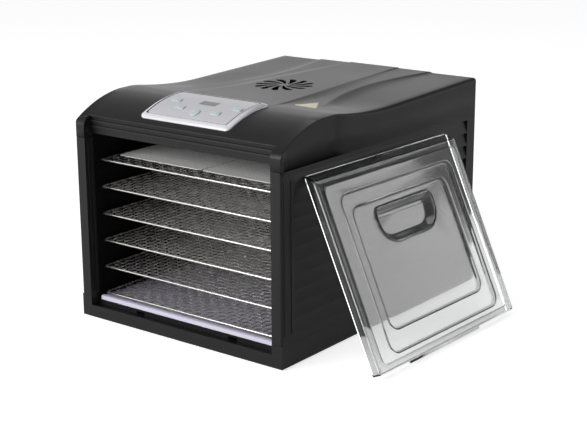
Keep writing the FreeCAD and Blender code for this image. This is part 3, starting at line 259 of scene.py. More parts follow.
def finish(name, colour, gloss, contrast=0.12, patch=14.0, grain=900.0, stretch=(1, 1, 1), metal=0.0,
           bump=0.05, depth=0.0002, dust=0.0, **sockets):
    """A material of the named finish: a Principled surface fed by the shared grain and dust."""
    material = bpy.data.materials.new(name)
    material.use_nodes = True
    tree = material.node_tree
    surface = tree.nodes["Principled BSDF"]
    surface.inputs["Metallic"].default_value = metal
    for socket, value in sockets.items():
        surface.inputs[socket.replace("_", " ")].default_value = value
    grain_tree = bpy.data.node_groups.get("Surface grain") or grain_group()
    grained = add_node(tree, "Group", node_tree=grain_tree)
    values = {
        "Tone A": shade(colour, 1 - contrast), "Tone B": shade(colour, 1 + contrast), "Patch": patch,
        "Grain": grain, "Stretch": stretch, "Gloss low": max(0.0, gloss - GLOSS_SPREAD),
        "Gloss high": min(1.0, gloss + GLOSS_SPREAD)}
    for socket, value in values.items():
        grained.inputs[socket].default_value = value
    tone = grained.outputs["Color"]
    if dust:
        dust_tree = bpy.data.node_groups.get("Light dust") or dust_group()
        layer = add_node(tree, "Group", node_tree=dust_tree)
        layer.inputs["Amount"].default_value = dust
        tree.links.new(tone, layer.inputs["Color"])
        tone = layer.outputs["Color"]
    relief = add_node(tree, "Bump", {
        "Strength": bump, "Distance": depth, "Height": grained.outputs["Height"]})
    for result, socket in ((tone, "Base Color"), (grained.outputs["Roughness"], "Roughness"),
                           (relief.outputs["Normal"], "Normal")):
        tree.links.new(result, surface.inputs[socket])
    return material


def finishes():
    """Every finish by its name. They are made once and kept in the file."""
    scene = bpy.context.scene
    case = scene.dehydrator_cabinet
    panel = scene.dehydrator_panel
    racks = scene.dehydrator_racks
    door = scene.dehydrator_door
    black = case.plastic_colour
    made = {
        "case_plastic": dict(colour=black, gloss=case.plastic_rough, contrast=0.16, patch=9, grain=1400,
                             bump=0.22, depth=0.00025, dust=0.006, Specular_IOR_Level=0.26),
        # the case's black darkened to three tenths is painted shade for the chamber's inner parts and
        # the panel frame's well; the rougher, duller gloss is the plastic's own
        "plastic_with_painted_shade": dict(colour=shade(black, 0.3), gloss=0.65, patch=20, grain=1100, bump=0.15,
                              Specular_IOR_Level=0.12),
        "foot_rubber": dict(colour=(0.012, 0.012, 0.012), gloss=0.75, contrast=0.25, grain=1600,
                            bump=0.3),
        "zinc": dict(colour=(0.62, 0.63, 0.66), gloss=0.35, metal=1.0, contrast=0.15, patch=160),
        "board_green": dict(colour=(0.01, 0.09, 0.035), gloss=0.4, patch=220, contrast=0.35),
        "panel_silver": dict(colour=panel.silver, gloss=0.33, contrast=0.05, patch=40, grain=2400,
                             bump=0.06, metal=0.25),
        "panel_film": dict(colour=panel.film, gloss=0.4, contrast=0.06, patch=60, grain=2600, bump=0.1),
        "display_smoke": dict(colour=(0.20, 0.20, 0.21), gloss=0.2, patch=180, bump=0.02),
        "key_pale": dict(colour=panel.key, gloss=0.35, contrast=0.05, patch=90, grain=2200, bump=0.05),
        "label_cream": dict(colour=(0.62, 0.56, 0.42), gloss=0.5, contrast=0.08, patch=120, bump=0.08),
        "label_gold": dict(colour=(0.30, 0.20, 0.07), gloss=0.45, patch=120),
        "galvanised": dict(colour=(0.55, 0.56, 0.57), gloss=0.42, metal=1.0, contrast=0.25, patch=70),
        "motor_steel": dict(colour=(0.42, 0.42, 0.43), gloss=0.35, metal=1.0, patch=60),
        "fan_aluminium": dict(colour=(0.72, 0.73, 0.74), gloss=0.38, metal=1.0, patch=60),
        "mica": dict(colour=(0.42, 0.36, 0.28), gloss=0.5, contrast=0.25, patch=90),
        "heater_wire": dict(colour=(0.32, 0.29, 0.26), gloss=0.45, metal=1.0, contrast=0.2),
        "tray_steel": dict(colour=racks.steel, gloss=0.27, metal=1.0, contrast=0.1, patch=90,
                           grain=1800, bump=0.08),
        "drip_plastic": dict(colour=racks.drip, gloss=0.4, contrast=0.07, patch=18, grain=1500,
                             bump=0.1),
        "liner_sheet": dict(colour=racks.liner, gloss=0.5, contrast=0.14, patch=420, grain=1500,
                            bump=0.35, stretch=(1, 0.4, 1)),
        "clear_plastic": dict(colour=door.tint, gloss=0.06, contrast=0.012, patch=16, bump=0.03,
                              depth=0.0001, Transmission_Weight=1.0, IOR=1.49),
    }
    return {
        name: bpy.data.materials.get(f"{name}_finish") or finish(f"{name}_finish", **look)
        for name, look in made.items()
    }


# ---------------------------------------------------------------- shared modelling

def box_mm(node):
    """Low and high corner of a CAD node, in millimetres."""
    low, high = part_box(node)
    return low / MM, high / MM


def add_piece(name, bm, looks, body, stands_for=(), crease=32, metres=False):
    """Makes an object of the mesh, in the row frame, and says what it rides on and stands for."""
    if not metres:
        bmesh.ops.scale(bm, vec=(MM, MM, MM), verts=bm.verts)
    mesh = bpy.data.meshes.new(name)
    bm.to_mesh(mesh)
    bm.free()
    made = finishes()
    for look in looks:
        mesh.materials.append(made[look])
    mesh.shade_smooth()
    mesh.set_sharp_from_angle(angle=math.radians(crease))
    piece = bpy.data.objects.new(name, mesh)
    bpy.context.scene.collection.objects.link(piece)
    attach(piece, body)
    if stands_for:
        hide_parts(*stands_for)
    return piece


def add_wall(piece, thickness):
    """Gives an open sheet its wall, inwards."""
    wall = piece.modifiers.new("Wall", "SOLIDIFY")
    wall.thickness = thickness
    wall.offset = -1
    wall.use_even_offset = False


def verts_in(geom):
    return [g for g in geom if isinstance(g, bmesh.types.BMVert)]


def edges_in(geom):
    return [g for g in geom if isinstance(g, bmesh.types.BMEdge)]


def everything(bm):
    return bm.verts[:] + bm.edges[:] + bm.faces[:]


def slice_at(bm, spot, normal):
    """Cuts every face that crosses a plane, and keeps both halves."""
    bmesh.ops.bisect_plane(bm, geom=everything(bm), dist=1e-5, plane_co=spot, plane_no=normal)


def tidy(bm, distance=1e-4):
    """Merges doubles, then turns every face outwards."""
    bmesh.ops.remove_doubles(bm, verts=bm.verts, dist=distance)
    outwards(bm)


def outwards(bm):
    """Turns every face of a closed mesh outwards."""
    bmesh.ops.recalc_face_normals(bm, faces=bm.faces)
    if bm.calc_volume(signed=True) < 0:
        bmesh.ops.reverse_faces(bm, faces=bm.faces)


def face_up(bm):
    """Turns an open sheet so that most of it faces up."""
    bmesh.ops.recalc_face_normals(bm, faces=bm.faces)
    if sum(f.normal.z * f.calc_area() for f in bm.faces) < 0:
        bmesh.ops.reverse_faces(bm, faces=bm.faces)


def at_corner(vert, corners):
    """Whether the vertex stands at one of the case's corners, seen from above."""
    return any((vert.co.xy - Vector(c)).length < SAME_SPOT for c in corners)


def clean_copy(node, corners):
    """The CAD node's mesh in metres, merged, with its flat faces whole. A level face keeps its
    triangles away from the case's corners, as it can run round an opening."""
    bm = bmesh.new()
    bm.from_mesh(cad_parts[node].data)
    bmesh.ops.remove_doubles(bm, verts=bm.verts, dist=5e-6)

    def joins(edge):
        level = all(abs(f.normal.z) > 0.99 for f in edge.link_faces)
        return not level or any(at_corner(v, corners) for v in edge.verts)

    bmesh.ops.dissolve_limit(
        bm, angle_limit=math.radians(0.6), verts=bm.verts, edges=[e for e in bm.edges if joins(e)],
        use_dissolve_boundaries=False)
    return bm


def soften(name, node, width, corners=(), corner_round=0.003):
    """A copy of a CAD node with its case corners and its edges rounded, in the node's place."""
    bm = clean_copy(node, corners)
    upright = [e for e in bm.edges if all(at_corner(v, corners) for v in e.verts)]
    if upright:
        bmesh.ops.bevel(
            bm, geom=upright, offset=corner_round, offset_type="OFFSET", segments=4, profile=0.5,
            affect="EDGES", clamp_overlap=False, material=-1)
    piece = add_piece(name, bm, ["case_plastic"], "root", [node], metres=True)
    rounding = piece.modifiers.new("Edge rounding", "BEVEL")
    rounding.width = width
    rounding.segments = 2
    rounding.limit_method = "ANGLE"
    rounding.angle_limit = math.radians(40)


def rounded_spots(low, high, radii, segments):
    """Plan of a rectangle with rounded corners, in order round it. The corners (low, low),
    (high, low), (high, high), (low, high) may each have their own radius."""
    spots = []
    square = (low[0], low[1]), (high[0], low[1]), (high[0], high[1]), (low[0], high[1])
    for index, (x, y) in enumerate(square):
        radius = radii[index] if isinstance(radii, (tuple, list)) else radii
        middle = Vector((x + radius if index in (0, 3) else x - radius,
                         y + radius if index in (0, 1) else y - radius))
        for step in range(segments + 1):
            turn = math.radians(180 + 90 * index + 90 * step / segments)
            spots.append(middle + radius * Vector((math.cos(turn), math.sin(turn))))
    return spots


def stack_loops(bm, loops, segments=5, cap_first=False, cap_last=False):
    """Extrudes a rounded rectangle through each loop (low, high, radii, level) in turn. Gives
    back the rings of edges."""
    rings, verts = [], []
    for low, high, radii, level in loops:
        spots = rounded_spots(low, high, radii, segments)
        if not rings:
            verts = [bm.verts.new((*spot, level)) for spot in spots]
            rings.append([bm.edges.new(pair) for pair in zip(verts, verts[1:] + verts[:1])])
            continue
        made = bmesh.ops.extrude_edge_only(bm, edges=rings[-1])["geom"]
        fresh = set(verts_in(made))
        verts = [next(e.other_vert(v) for e in v.link_edges if e.other_vert(v) in fresh) for v in verts]
        for vert, spot in zip(verts, spots):
            vert.co = (*spot, level)
        rings.append([e for e in edges_in(made) if fresh.issuperset(e.verts)])
    for ring, capped in ((rings[0], cap_first), (rings[-1], cap_last)):
        if capped:
            bmesh.ops.contextual_create(bm, geom=ring)
    return rings


def stack_insets(bm, low, high, levels, segments):
    """A closed block: a rounded rectangle through levels of (level, inset, corner radius)."""
    loops = [((low[0] + inset, low[1] + inset), (high[0] - inset, high[1] - inset), corner, level)
             for level, inset, corner in levels]
    stack_loops(bm, loops, segments, cap_first=True, cap_last=True)


# ---------------------------------------------------------------- roof

STEP_ONE = ((74.7, -114), (41.8, 205), 4), ((75.0, -114), (44.0, 205), -16)
STEP_TWO = ((114.4, -57.6), (96.8, 209.4), 27), ((125.0, -61.6), (103.5, 212.5), 12)
EDGE_RUN = (8.5, 653.0, 1.8)
SHELF_RUN = (5.0, 1117.0, 1.0)
CROWN_RUN = (2.2, 2700.0, 0.5)


def smooth_step(t):
    """0 to 1 with soft ends."""
    t = max(0.0, min(1.0, t))
    return t * t * (3 - 2 * t)


class Roof:
    """The roof's height over the case's plan, in millimetres."""

    def __init__(self):
        case = bpy.context.scene.dehydrator_cabinet
        self.low, self.high = box_mm("top_cover")
        self.half = self.high.x
        self.radius = case.arc_radius / MM
        self.peak_y = self.low.y + case.arc_back / MM
        self.peak_z = self.high.z - self.radius

    def run(self, y, fall, dip, climb):
        """One long section: the front arc, its fall, a wide dip and the climb to the rear."""
        fall, climb = math.radians(fall), math.radians(climb)
        ahead = y - self.peak_y
        arc_end = self.radius * math.sin(fall)
        if ahead <= arc_end:
            return self.peak_z + math.sqrt(self.radius ** 2 - ahead ** 2)
        z = self.peak_z + self.radius * math.cos(fall)
        along = ahead - arc_end
        dip_end = dip * (math.sin(fall) + math.sin(climb))
        if along <= dip_end:
            turn = math.asin(math.sin(fall) - along / dip)
            return z - dip * (math.cos(turn) - math.cos(fall))
        z -= dip * (math.cos(climb) - math.cos(fall))
        return z + (along - dip_end) * math.tan(climb)

    def crease(self, line, y):
        """Where a crease line crosses the plan at y, from the middle."""
        (ax, ay), (bx, by), bow = line
        t = max(0.0, min(1.0, (y - ay) / (by - ay)))
        return ax + (bx - ax) * t - bow * 4 * t * (1 - t)

    def creases(self, y):
        return [self.crease(line, y) for line in (*STEP_ONE, *STEP_TWO)]

    def height(self, x, y):
        """The roof's top face at a spot, before its edges are rounded."""
        a = abs(x)
        crown, shelf, edge = (self.run(y, *r) for r in (CROWN_RUN, SHELF_RUN, EDGE_RUN))
        up_one, low_one, up_two, low_two = self.creases(y)
        if a <= up_one:
            return crown
        if a < low_one:
            s = (a - up_one) / (low_one - up_one)
            return crown + (shelf - crown) * (1 - (1 - s) ** 2)
        crisp = 0.0 if a <= up_two else 1.0
        if up_two < a < low_two:
            s = (a - up_two) / (low_two - up_two)
            crisp = 1 - (1 - s) ** 2
        flare = smooth_step((a - 96) / (self.half - 96))
        blend = smooth_step((y + 78) / 44)
        return shelf + (edge - shelf) * (crisp * blend + flare * (1 - blend))

    def side_round(self, y):
        """Radius along the side: tight at the brow, soft from the arc's end on."""
        return 1.2 + 4.0 * smooth_step((y + 130) / 120)

    def drop(self, x, y):
        """How far the rounding of the outer edges takes the surface down."""
        downs = []
        for reach, radius in ((abs(x) - self.high.x, self.side_round(y)), (y - self.high.y, 5.0)):
            q = max(0.0, min(1.0, (reach + radius) / radius))
            downs.append(radius * (1 - math.sqrt(1 - q * q)))
        q = max(0.0, min(1.0, (self.low.y + 6.0 - y) / 6.0))
        downs.append(5.0 * (1 - math.sqrt(1 - q * q)))
        return max(downs)

    def top(self, x, y):
        return self.height(x, y) - self.drop(x, y)

    def columns(self, y):
        """Places of the grid's columns from the middle to the side, along the creases."""
        up_one, low_one, up_two, low_two = self.creases(y)
        side_round = self.side_round(y)
        inner = self.half - side_round
        mark = [(up_one - 9) * f for f in (0, 0.25, 0.5, 0.75, 1.0)] + [up_one - 1.0, up_one]
        mark += [up_one + (low_one - up_one) * f for f in (0.15, 0.4, 0.7, 1.0)]
        mark += [low_one + (up_two - low_one) * f for f in (0.35, 0.7, 0.93, 1.0)]
        mark += [up_two + (low_two - up_two) * f for f in (0.12, 0.35, 0.65, 1.0)]
        mark += [low_two + (RECESS_HALF - low_two) * f for f in (0.2, 0.45, 0.7, 1.0)]
        mark += [inner + side_round * math.sin(math.radians(a)) for a in (0, 25, 50, 72, 90)]
        return mark


RECESS_HALF = 156.0
BROW_LIP = -213.0
RIDGES = (
    (-213.2, 278.6), (-212.6, 277.6), (-210.4, 277.0), (-210.2, 273.6), (-212.2, 273.2),
    (-212.4, 271.2), (-210.0, 270.4), (-209.8, 266.2), (-211.6, 265.8), (-211.8, 263.8),
    (-209.4, 263.0), (-209.0, 254.6), (-206.2, 254.6),
)


def roof_rows(roof):
    """Places of the grid's rows from the front to the rear."""
    front, rear = roof.low.y, roof.high.y
    rows = [front, front + 0.15, front + 0.9, front + 2.4, front + 4.2, front + 6, BROW_LIP, -209]
    rows += [roof.peak_y - roof.radius * math.sin(math.radians(a)) for a in range(27, 3, -2)]
    rows += [-117, -114, -108, -100, -92, -84, -77, -70, -64, -58, -52, -46]
    rows += [-38 + 9 * k for k in range(27)]
    rows += [rear - 9, rear - 5]
    rows += [rear - 5 + 5 * math.sin(math.radians(a)) for a in (25, 50, 72, 90)]
    return rows


UPRIGHT_ROUND = 3.0  # radius of the roof's four upright corners, seen from above


def corner_pull(co, roof):
    """Brings a spot near one of the four upright corners on to its rounding."""
    radius = UPRIGHT_ROUND
    dx = abs(co.x) - (roof.high.x - radius)
    dy = abs(co.y) - (roof.high.y - radius)
    if dx > 0 and dy > 0:
        scale = max(dx, dy) / math.hypot(dx, dy)
        co.x = math.copysign(roof.high.x - radius + dx * scale, co.x)
        co.y = math.copysign(roof.high.y - radius + dy * scale, co.y)


def extrude_ring(bm, edges, move):
    """Extrudes open edges once and moves each new spot. Gives back the new edges."""
    made = bmesh.ops.extrude_edge_only(bm, edges=edges)["geom"]
    for vert in verts_in(made):
        move(vert.co)
    return [e for e in edges_in(made) if e.is_boundary]


def cover_shell(roof):
    """The roof moulding as an open sheet: its top, sides, corner blocks and ridged brow."""
    bm = bmesh.new()
    rows = roof_rows(roof)
    count = len(roof.columns(0)) * 2 - 2
    bmesh.ops.create_grid(bm, x_segments=count, y_segments=len(rows) - 1, size=0.5)
    for vert in bm.verts:
        i = round((vert.co.x + 0.5) * count) - count // 2
        y = rows[round((vert.co.y + 0.5) * (len(rows) - 1))]
        x = math.copysign(roof.columns(y)[abs(i)], i)
        vert.co = (x, y, roof.top(x, y))
    gap = [
        f for f in bm.faces
        if abs(f.calc_center_median().x) < RECESS_HALF and f.calc_center_median().y < BROW_LIP
    ]
    bmesh.ops.delete(bm, geom=gap, context="FACES")
    brow, walls = [], []
    for edge in (e for e in bm.edges if e.is_boundary):
        on_lip = all(
            abs(v.co.x) < RECESS_HALF + 0.01 and abs(v.co.y - BROW_LIP) < 0.01 for v in edge.verts)
        (brow if on_lip else walls).append(edge)

    def crease_depth(co):
        if abs(co.x) < roof.half - 0.2:
            return 0.0
        return smooth_step((co.y + 221) / 6) * (1 - smooth_step((co.y + 118) / 22))

    def down(amount, inwards):
        def move(co):
            depth = crease_depth(co)
            co.z -= amount
            co.x -= math.copysign(inwards * depth, co.x)
        return move

    def to_seam(co):
        co.z = roof.low.z

    for step in (down(0.5, 0), down(0.3, 1.9), down(1.3, 0), down(0.3, -1.9)):
        walls = extrude_ring(bm, walls, step)
    extrude_ring(bm, walls, to_seam)
    for y, z in RIDGES:
        def place(co, y=y, z=z):
            co.y, co.z = y, z
        brow = extrude_ring(bm, brow, place)
    for side in (-1, 1):
        flank = [
            e for e in bm.edges if e.is_boundary and all(
                abs(v.co.x - side * RECESS_HALF) < 0.01 and v.co.y > BROW_LIP - 0.6
                for v in e.verts)
        ]
        flank += close_gap(bm, flank)
        bmesh.ops.triangle_fill(bm, use_beauty=True, use_dissolve=False, edges=flank)
    for vert in bm.verts:
        corner_pull(vert.co, roof)
    face_up(bm)
    return bm


def close_gap(bm, edges):
    """Joins the two loose ends of a chain of edges."""
    verts = {v for e in edges for v in e.verts}
    ends = [v for v in verts if sum(e in edges for e in v.link_edges) == 1]
    return [bm.edges.new(ends)] if len(ends) == 2 else []


def carve(piece, cutter_mesh, name, crossing=False):
    """Cuts a closed mesh out of the piece, and keeps the result as the piece's mesh. Crossing is
    for a piece whose own wall touches itself."""
    before = len(piece.data.vertices)
    tool_mesh = bpy.data.meshes.new(name)
    bmesh.ops.scale(cutter_mesh, vec=(MM, MM, MM), verts=cutter_mesh.verts)
    cutter_mesh.to_mesh(tool_mesh)
    cutter_mesh.free()
    tool = bpy.data.objects.new(name, tool_mesh)
    bpy.context.scene.collection.objects.link(tool)
    cut = piece.modifiers.new(name, "BOOLEAN")
    cut.operation = "DIFFERENCE"
    cut.solver = "EXACT"
    cut.use_self = crossing
    cut.object = tool
    bpy.context.view_layer.update()
    cut_mesh = bpy.data.meshes.new_from_object(
        piece.evaluated_get(bpy.context.evaluated_depsgraph_get()))
    if len(cut_mesh.vertices) < before / 2:
        raise RuntimeError(f"{name} left {len(cut_mesh.vertices)} of {before} vertices")
    cut_mesh.validate()
    piece.modifiers.clear()
    piece.data = cut_mesh
    bpy.data.objects.remove(tool)


def vent_cutter(roof):
    """Twelve swirled petals, narrow at the hub and wide at the rim."""
    vent = bpy.context.scene.dehydrator_vent
    hub, reach = vent.hub / MM, vent.reach / MM
    bm = bmesh.new()
    petal = [(0.0, -1.0), (0.3, -2.6), (0.6, -4.3), (0.88, -5.4), (1.0, -3.4),
             (1.0, 3.4), (0.88, 5.4), (0.6, 4.3), (0.3, 2.6), (0.0, 1.0)]
    spots = []
    for along, across in petal:
        radius = hub + (reach - hub) * along
        angle = vent.swirl * along + across / max(radius, hub)
        spots.append(bm.verts.new((radius * math.cos(angle), radius * math.sin(angle), 0)))
    face = bm.faces.new(spots)
    solid = bmesh.ops.extrude_face_region(bm, geom=[face])["geom"]
    bmesh.ops.translate(bm, vec=(0, 0, 40), verts=verts_in(solid))
    bmesh.ops.spin(
        bm, geom=everything(bm), cent=(0, 0, 0), axis=(0, 0, 1), dvec=(0, 0, 0),
        angle=math.tau * (vent.blades - 1) / vent.blades, steps=vent.blades - 1,
        use_merge=False, use_duplicate=True)
    x, y = vent.centre[0] / MM, roof.low.y + vent.centre[1] / MM
    bmesh.ops.translate(bm, vec=(x, y, roof.high.z - 30), verts=bm.verts)
    bmesh.ops.recalc_face_normals(bm, faces=bm.faces)
    return bm


class DEHYDRATOR_OT_roof(bpy.types.Operator):
    """Makes the roof moulding with its brow, steps and vent"""
    bl_idname = "dehydrator.roof"
    bl_label = "Roof"

    def execute(self, context):
        roof = Roof()
        piece = add_piece("roof_moulding", cover_shell(roof), ["case_plastic"], "root",
                          ["top_cover"], crease=28)
        add_wall(piece, context.scene.dehydrator_cabinet.shell_thickness)
        carve(piece, vent_cutter(roof), "vent_petals", crossing=True)
        return {"FINISHED"}


class DEHYDRATOR_OT_label(bpy.types.Operator):
    """Makes the blank three-cornered label on the roof"""
    bl_idname = "dehydrator.label"
    bl_label = "Label"

    def execute(self, context):
        roof = Roof()
        low, high = box_mm("blank_label")
        bm = bmesh.new()
        triangle = (low.x, low.y, 0), (high.x, low.y, 0), (low.x + 10, high.y, 0)
        spots = [bm.verts.new(p) for p in triangle]
        bm.faces.new(spots)
        bmesh.ops.bevel(bm, geom=spots, offset=1.6, offset_type="OFFSET", segments=3, profile=0.5,
                        affect="VERTICES", material=-1)
        bmesh.ops.inset_region(bm, faces=bm.faces[:], thickness=1.6, depth=0, use_even_offset=True)
        inner = max(bm.faces, key=lambda f: f.calc_area())
        for other in bm.faces:
            other.material_index = 0 if other is inner else 1
        for k in range(1, 9):
            slice_at(bm, (0, low.y + k * (high.y - low.y) / 9, 0), (0, 1, 0))
            slice_at(bm, (low.x + k * (high.x - low.x) / 9, 0, 0), (1, 0, 0))
        for vert in bm.verts:
            vert.co.z = roof.top(vert.co.x, vert.co.y) + 0.35
        face_up(bm)
        piece = add_piece("roof_label", bm, ["label_cream", "label_gold"], "root",
                          ["blank_label"])
        add_wall(piece, 0.0004)
        return {"FINISHED"}


# ---------------------------------------------------------------- control panel

def wrap(bm, roof):
    """Bends a flat mesh on to the brow: X stays, Y is the run down the arc from its peak and Z
    the rise from the arc's face."""
    for vert in bm.verts:
        x, run, rise = vert.co
        turn = run / roof.radius
        reach = roof.radius + rise
        vert.co = (x, roof.peak_y - reach * math.sin(turn), roof.peak_z + reach * math.cos(turn))


def run_of(y, roof):
    """The run down the arc of a spot on it at y."""
    return roof.radius * math.asin((roof.peak_y - y) / roof.radius)


def slice_runs(bm, low, high, step=5.0):
    """Cuts flat faces across the run, so that they can bend."""
    count = int((high - low) / step)
    for k in range(1, count):
        slice_at(bm, (0, low + (high - low) * k / count, 0), (0, 1, 0))


def pad(bm, centre, size, radius, levels, segments=4):
    """A closed block with rounded corners: levels are (rise, inset) from its foot to its top."""
    loops = []
    for rise, inset in levels:
        half = (size[0] / 2 - inset, size[1] / 2 - inset)
        loops.append(((centre[0] - half[0], centre[1] - half[1]),
                      (centre[0] + half[0], centre[1] + half[1]), max(0.2, radius - inset), rise))
    stack_loops(bm, loops, segments, cap_first=True, cap_last=True)


def bend(bm, roof, far, near, step=5.0):
    """Slices a flat block, tidies it and bends it on to the brow."""
    slice_runs(bm, far, near, step)
    tidy(bm)
    wrap(bm, roof)
    outwards(bm)


KEY_LIFT = 1.6  # how far a CAD key's middle lies above the arc


def panel_layout(roof):
    """Every key and the window: node, middle on the panel, size and corner radius."""
    layout = []
    for node in ("mode_button", "minus_button", "plus_button", "start_button", "power_button",
                 "display_window"):
        low, high = box_mm(node)
        middle = (low + high) / 2
        run = run_of(middle.y - KEY_LIFT * (roof.peak_y - middle.y) / roof.radius, roof)
        size = {"power_button": (14.0, 14.0), "display_window": (27.0, 12.0)}.get(node, (15.0, 7.5))
        corner = {"power_button": 6.6, "display_window": 1.0}.get(node, 1.2)
        layout.append((node, (middle.x, run), size, corner))
    return layout


class DEHYDRATOR_OT_panel(bpy.types.Operator):
    """Makes the control panel: its frame, film, window and keys"""
    bl_idname = "dehydrator.panel"
    bl_label = "Control panel"

    # rise from the arc, inset and corner radius: foot, bead, then down into the film's well
    FRAME = ((-1.5, 0.0, 8.0), (0.9, 0.0, 8.0), (1.7, 0.5, 7.8), (3.3, 4.4, 6.0), (3.85, 5.4, 5.4),
             (4.0, 6.3, 5.0), (4.0, 7.0, 4.6), (2.6, 7.6, 4.4))
    WELL_INSET = 7.25

    def execute(self, context):
        roof = Roof()
        low, high = box_mm("control_bezel")
        near = run_of(low.y + 1.0, roof)
        far = run_of(high.y, roof)
        middle, size = ((low.x + high.x) / 2, (near + far) / 2), (high.x - low.x, near - far)
        bm = bmesh.new()
        stack_insets(bm, (low.x, far), (high.x, near), self.FRAME, 6)
        slice_runs(bm, far, near)
        tidy(bm)
        for face in bm.faces:
            spot = face.calc_center_median()
            inside = max(abs(spot.x - middle[0]) - size[0] / 2, abs(spot.y - middle[1]) - size[1] / 2)
            # faces going down into the film's well take the darkened black: painted shade in the well
            face.material_index = 1 if spot.z > 2 and inside < -self.WELL_INSET else 0
        wrap(bm, roof)
        outwards(bm)
        bezel = add_piece("panel_frame", bm, ["panel_silver", "plastic_with_painted_shade"], "root",
                          ["control_bezel"], crease=50)
        film = bmesh.new()
        pad(film, middle, (size[0] - 17.0, size[1] - 17.0), 4.0, ((2.7, 0.0), (3.6, 0.0), (3.8, 0.25)))
        bend(film, roof, far + 8, near - 8)
        film = add_piece("panel_film", film, ["panel_film"], "root", ["control_fascia"],
                         crease=28)
        for node, spot, extent, corner in panel_layout(roof):
            room = bmesh.new()
            is_key = node != "display_window"
            margin = 1.0 if is_key else 0.4
            pad(room, spot, (extent[0] + margin, extent[1] + margin), corner + margin / 2,
                ((1.2 if is_key else 2.0, 0.0), (8.0, 0.0)))
            bend(room, roof, spot[1] - extent[1] / 2, spot[1] + extent[1] / 2, 3.0)
            second = room.copy()
            carve(film, room, f"{node}_film_room")
            if is_key:
                carve(bezel, second, f"{node}_frame_room")
            else:
                second.free()
            self.add_key(roof, node, spot, extent, corner, is_key)
        return {"FINISHED"}

    def add_key(self, roof, node, spot, extent, corner, is_key):
        bm = bmesh.new()
        if is_key:
            levels = ((2.3, 0.0), (4.3, 0.0), (4.65, 0.35), (4.8, 0.9))
        else:
            levels = ((2.65, 0.0), (3.7, 0.0), (3.95, 0.3))
        pad(bm, spot, extent, corner, levels, 5)
        bend(bm, roof, spot[1] - extent[1] / 2, spot[1] + extent[1] / 2, 3.0)
        if is_key:
            name, look, body = node.replace("button", "key") + "_cap", "key_pale", node
        else:
            name, look, body = "display_pane", "display_smoke", "root"
        add_piece(name, bm, [look], body, [node], crease=28)


# ---------------------------------------------------------------- case

class DEHYDRATOR_OT_case(bpy.types.Operator):
    """Makes the base, posts, louvred sides and rear with moulded edges"""
    bl_idname = "dehydrator.case"
    bl_label = "Case"

    def execute(self, context):
        width = context.scene.dehydrator_cabinet.edge_round
        low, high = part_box("base_pan")
        xs, ys = (low.x, high.x), (low.y, high.y)
        every = [(x, y) for x in xs for y in ys]
        soften("base_moulding", "base_pan", width)
        for side in ("left", "right"):
            soften(f"post_{side}", f"front_post_{side}", width, corners=[c for c in every if c[1] < 0])
            soften(f"louvred_side_{side}", f"side_panel_{side}", width * 0.6)
        soften("rear_wall", "rear_panel", width * 0.7, corners=[c for c in every if c[1] > 0],
               corner_round=0.0029)
        return {"FINISHED"}


class DEHYDRATOR_OT_inside(bpy.types.Operator):
    """Gives the parts inside and under the case their finishes"""
    bl_idname = "dehydrator.inside"
    bl_label = "Inner parts"

    LOOKS = {
        "foot_rubber": ("foot_front_left", "foot_front_right", "foot_rear_left", "foot_rear_right"),
        "zinc": ("case_screws",),
        "case_plastic": ("cord_gland",),
        # the darkened black on these inner parts is painted shade inside the chamber
        "plastic_with_painted_shade": ("inner_wall_left", "inner_wall_right", "chamber_floor", "chamber_ceiling",
                          "rear_baffle"),
        "board_green": ("control_board",),
        "galvanised": ("fan_shroud", "motor_bracket"),
        "motor_steel": ("fan_motor", "motor_shaft"),
        "fan_aluminium": ("fan_impeller",),
        "mica": ("heater_frame",),
        "heater_wire": ("heating_coil", "thermostat"),
    }

    def execute(self, context):
        made = finishes()
        for look, nodes in self.LOOKS.items():
            for node in nodes:
                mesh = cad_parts[node].data
                mesh.materials.clear()
                mesh.materials.append(made[look])
        return {"FINISHED"}


# ---------------------------------------------------------------- trays

CORNER_STEPS = 5  # pieces of the bend at each corner of a tray's rod
ROD_SIDES = 8


def sweep_rod(bm, low, high, corner, radius, level):
    """A round rod bent into a closed rectangle with rounded corners, in the XY plane."""
    ring = bmesh.ops.create_circle(bm, cap_ends=False, segments=ROD_SIDES, radius=radius)["verts"]
    bmesh.ops.rotate(bm, cent=(0, 0, 0), matrix=Matrix.Rotation(math.radians(90), 3, "Y"), verts=ring)
    bmesh.ops.translate(bm, vec=(low.x + corner, low.y, level), verts=ring)
    section = list(dict.fromkeys(e for v in ring for e in v.link_edges))
    runs = (
        (Vector((high.x - low.x - 2 * corner, 0, 0)), (high.x - corner, low.y + corner)),
        (Vector((0, high.y - low.y - 2 * corner, 0)), (high.x - corner, high.y - corner)),
        (Vector((low.x - high.x + 2 * corner, 0, 0)), (low.x + corner, high.y - corner)),
        (Vector((0, low.y - high.y + 2 * corner, 0)), (low.x + corner, low.y + corner)),
    )
    corner_turn = Matrix.Rotation(math.radians(90 / CORNER_STEPS), 3, "Z")
    for straight, (cx, cy) in runs:
        for step in range(CORNER_STEPS + 1):
            made = bmesh.ops.extrude_edge_only(bm, edges=section)["geom"]
            if step == 0:
                bmesh.ops.translate(bm, vec=straight, verts=verts_in(made))
            else:
                bmesh.ops.rotate(bm, cent=(cx, cy, level), matrix=corner_turn, verts=verts_in(made))
            section = edges_in(made)
    tidy(bm, 0.01)


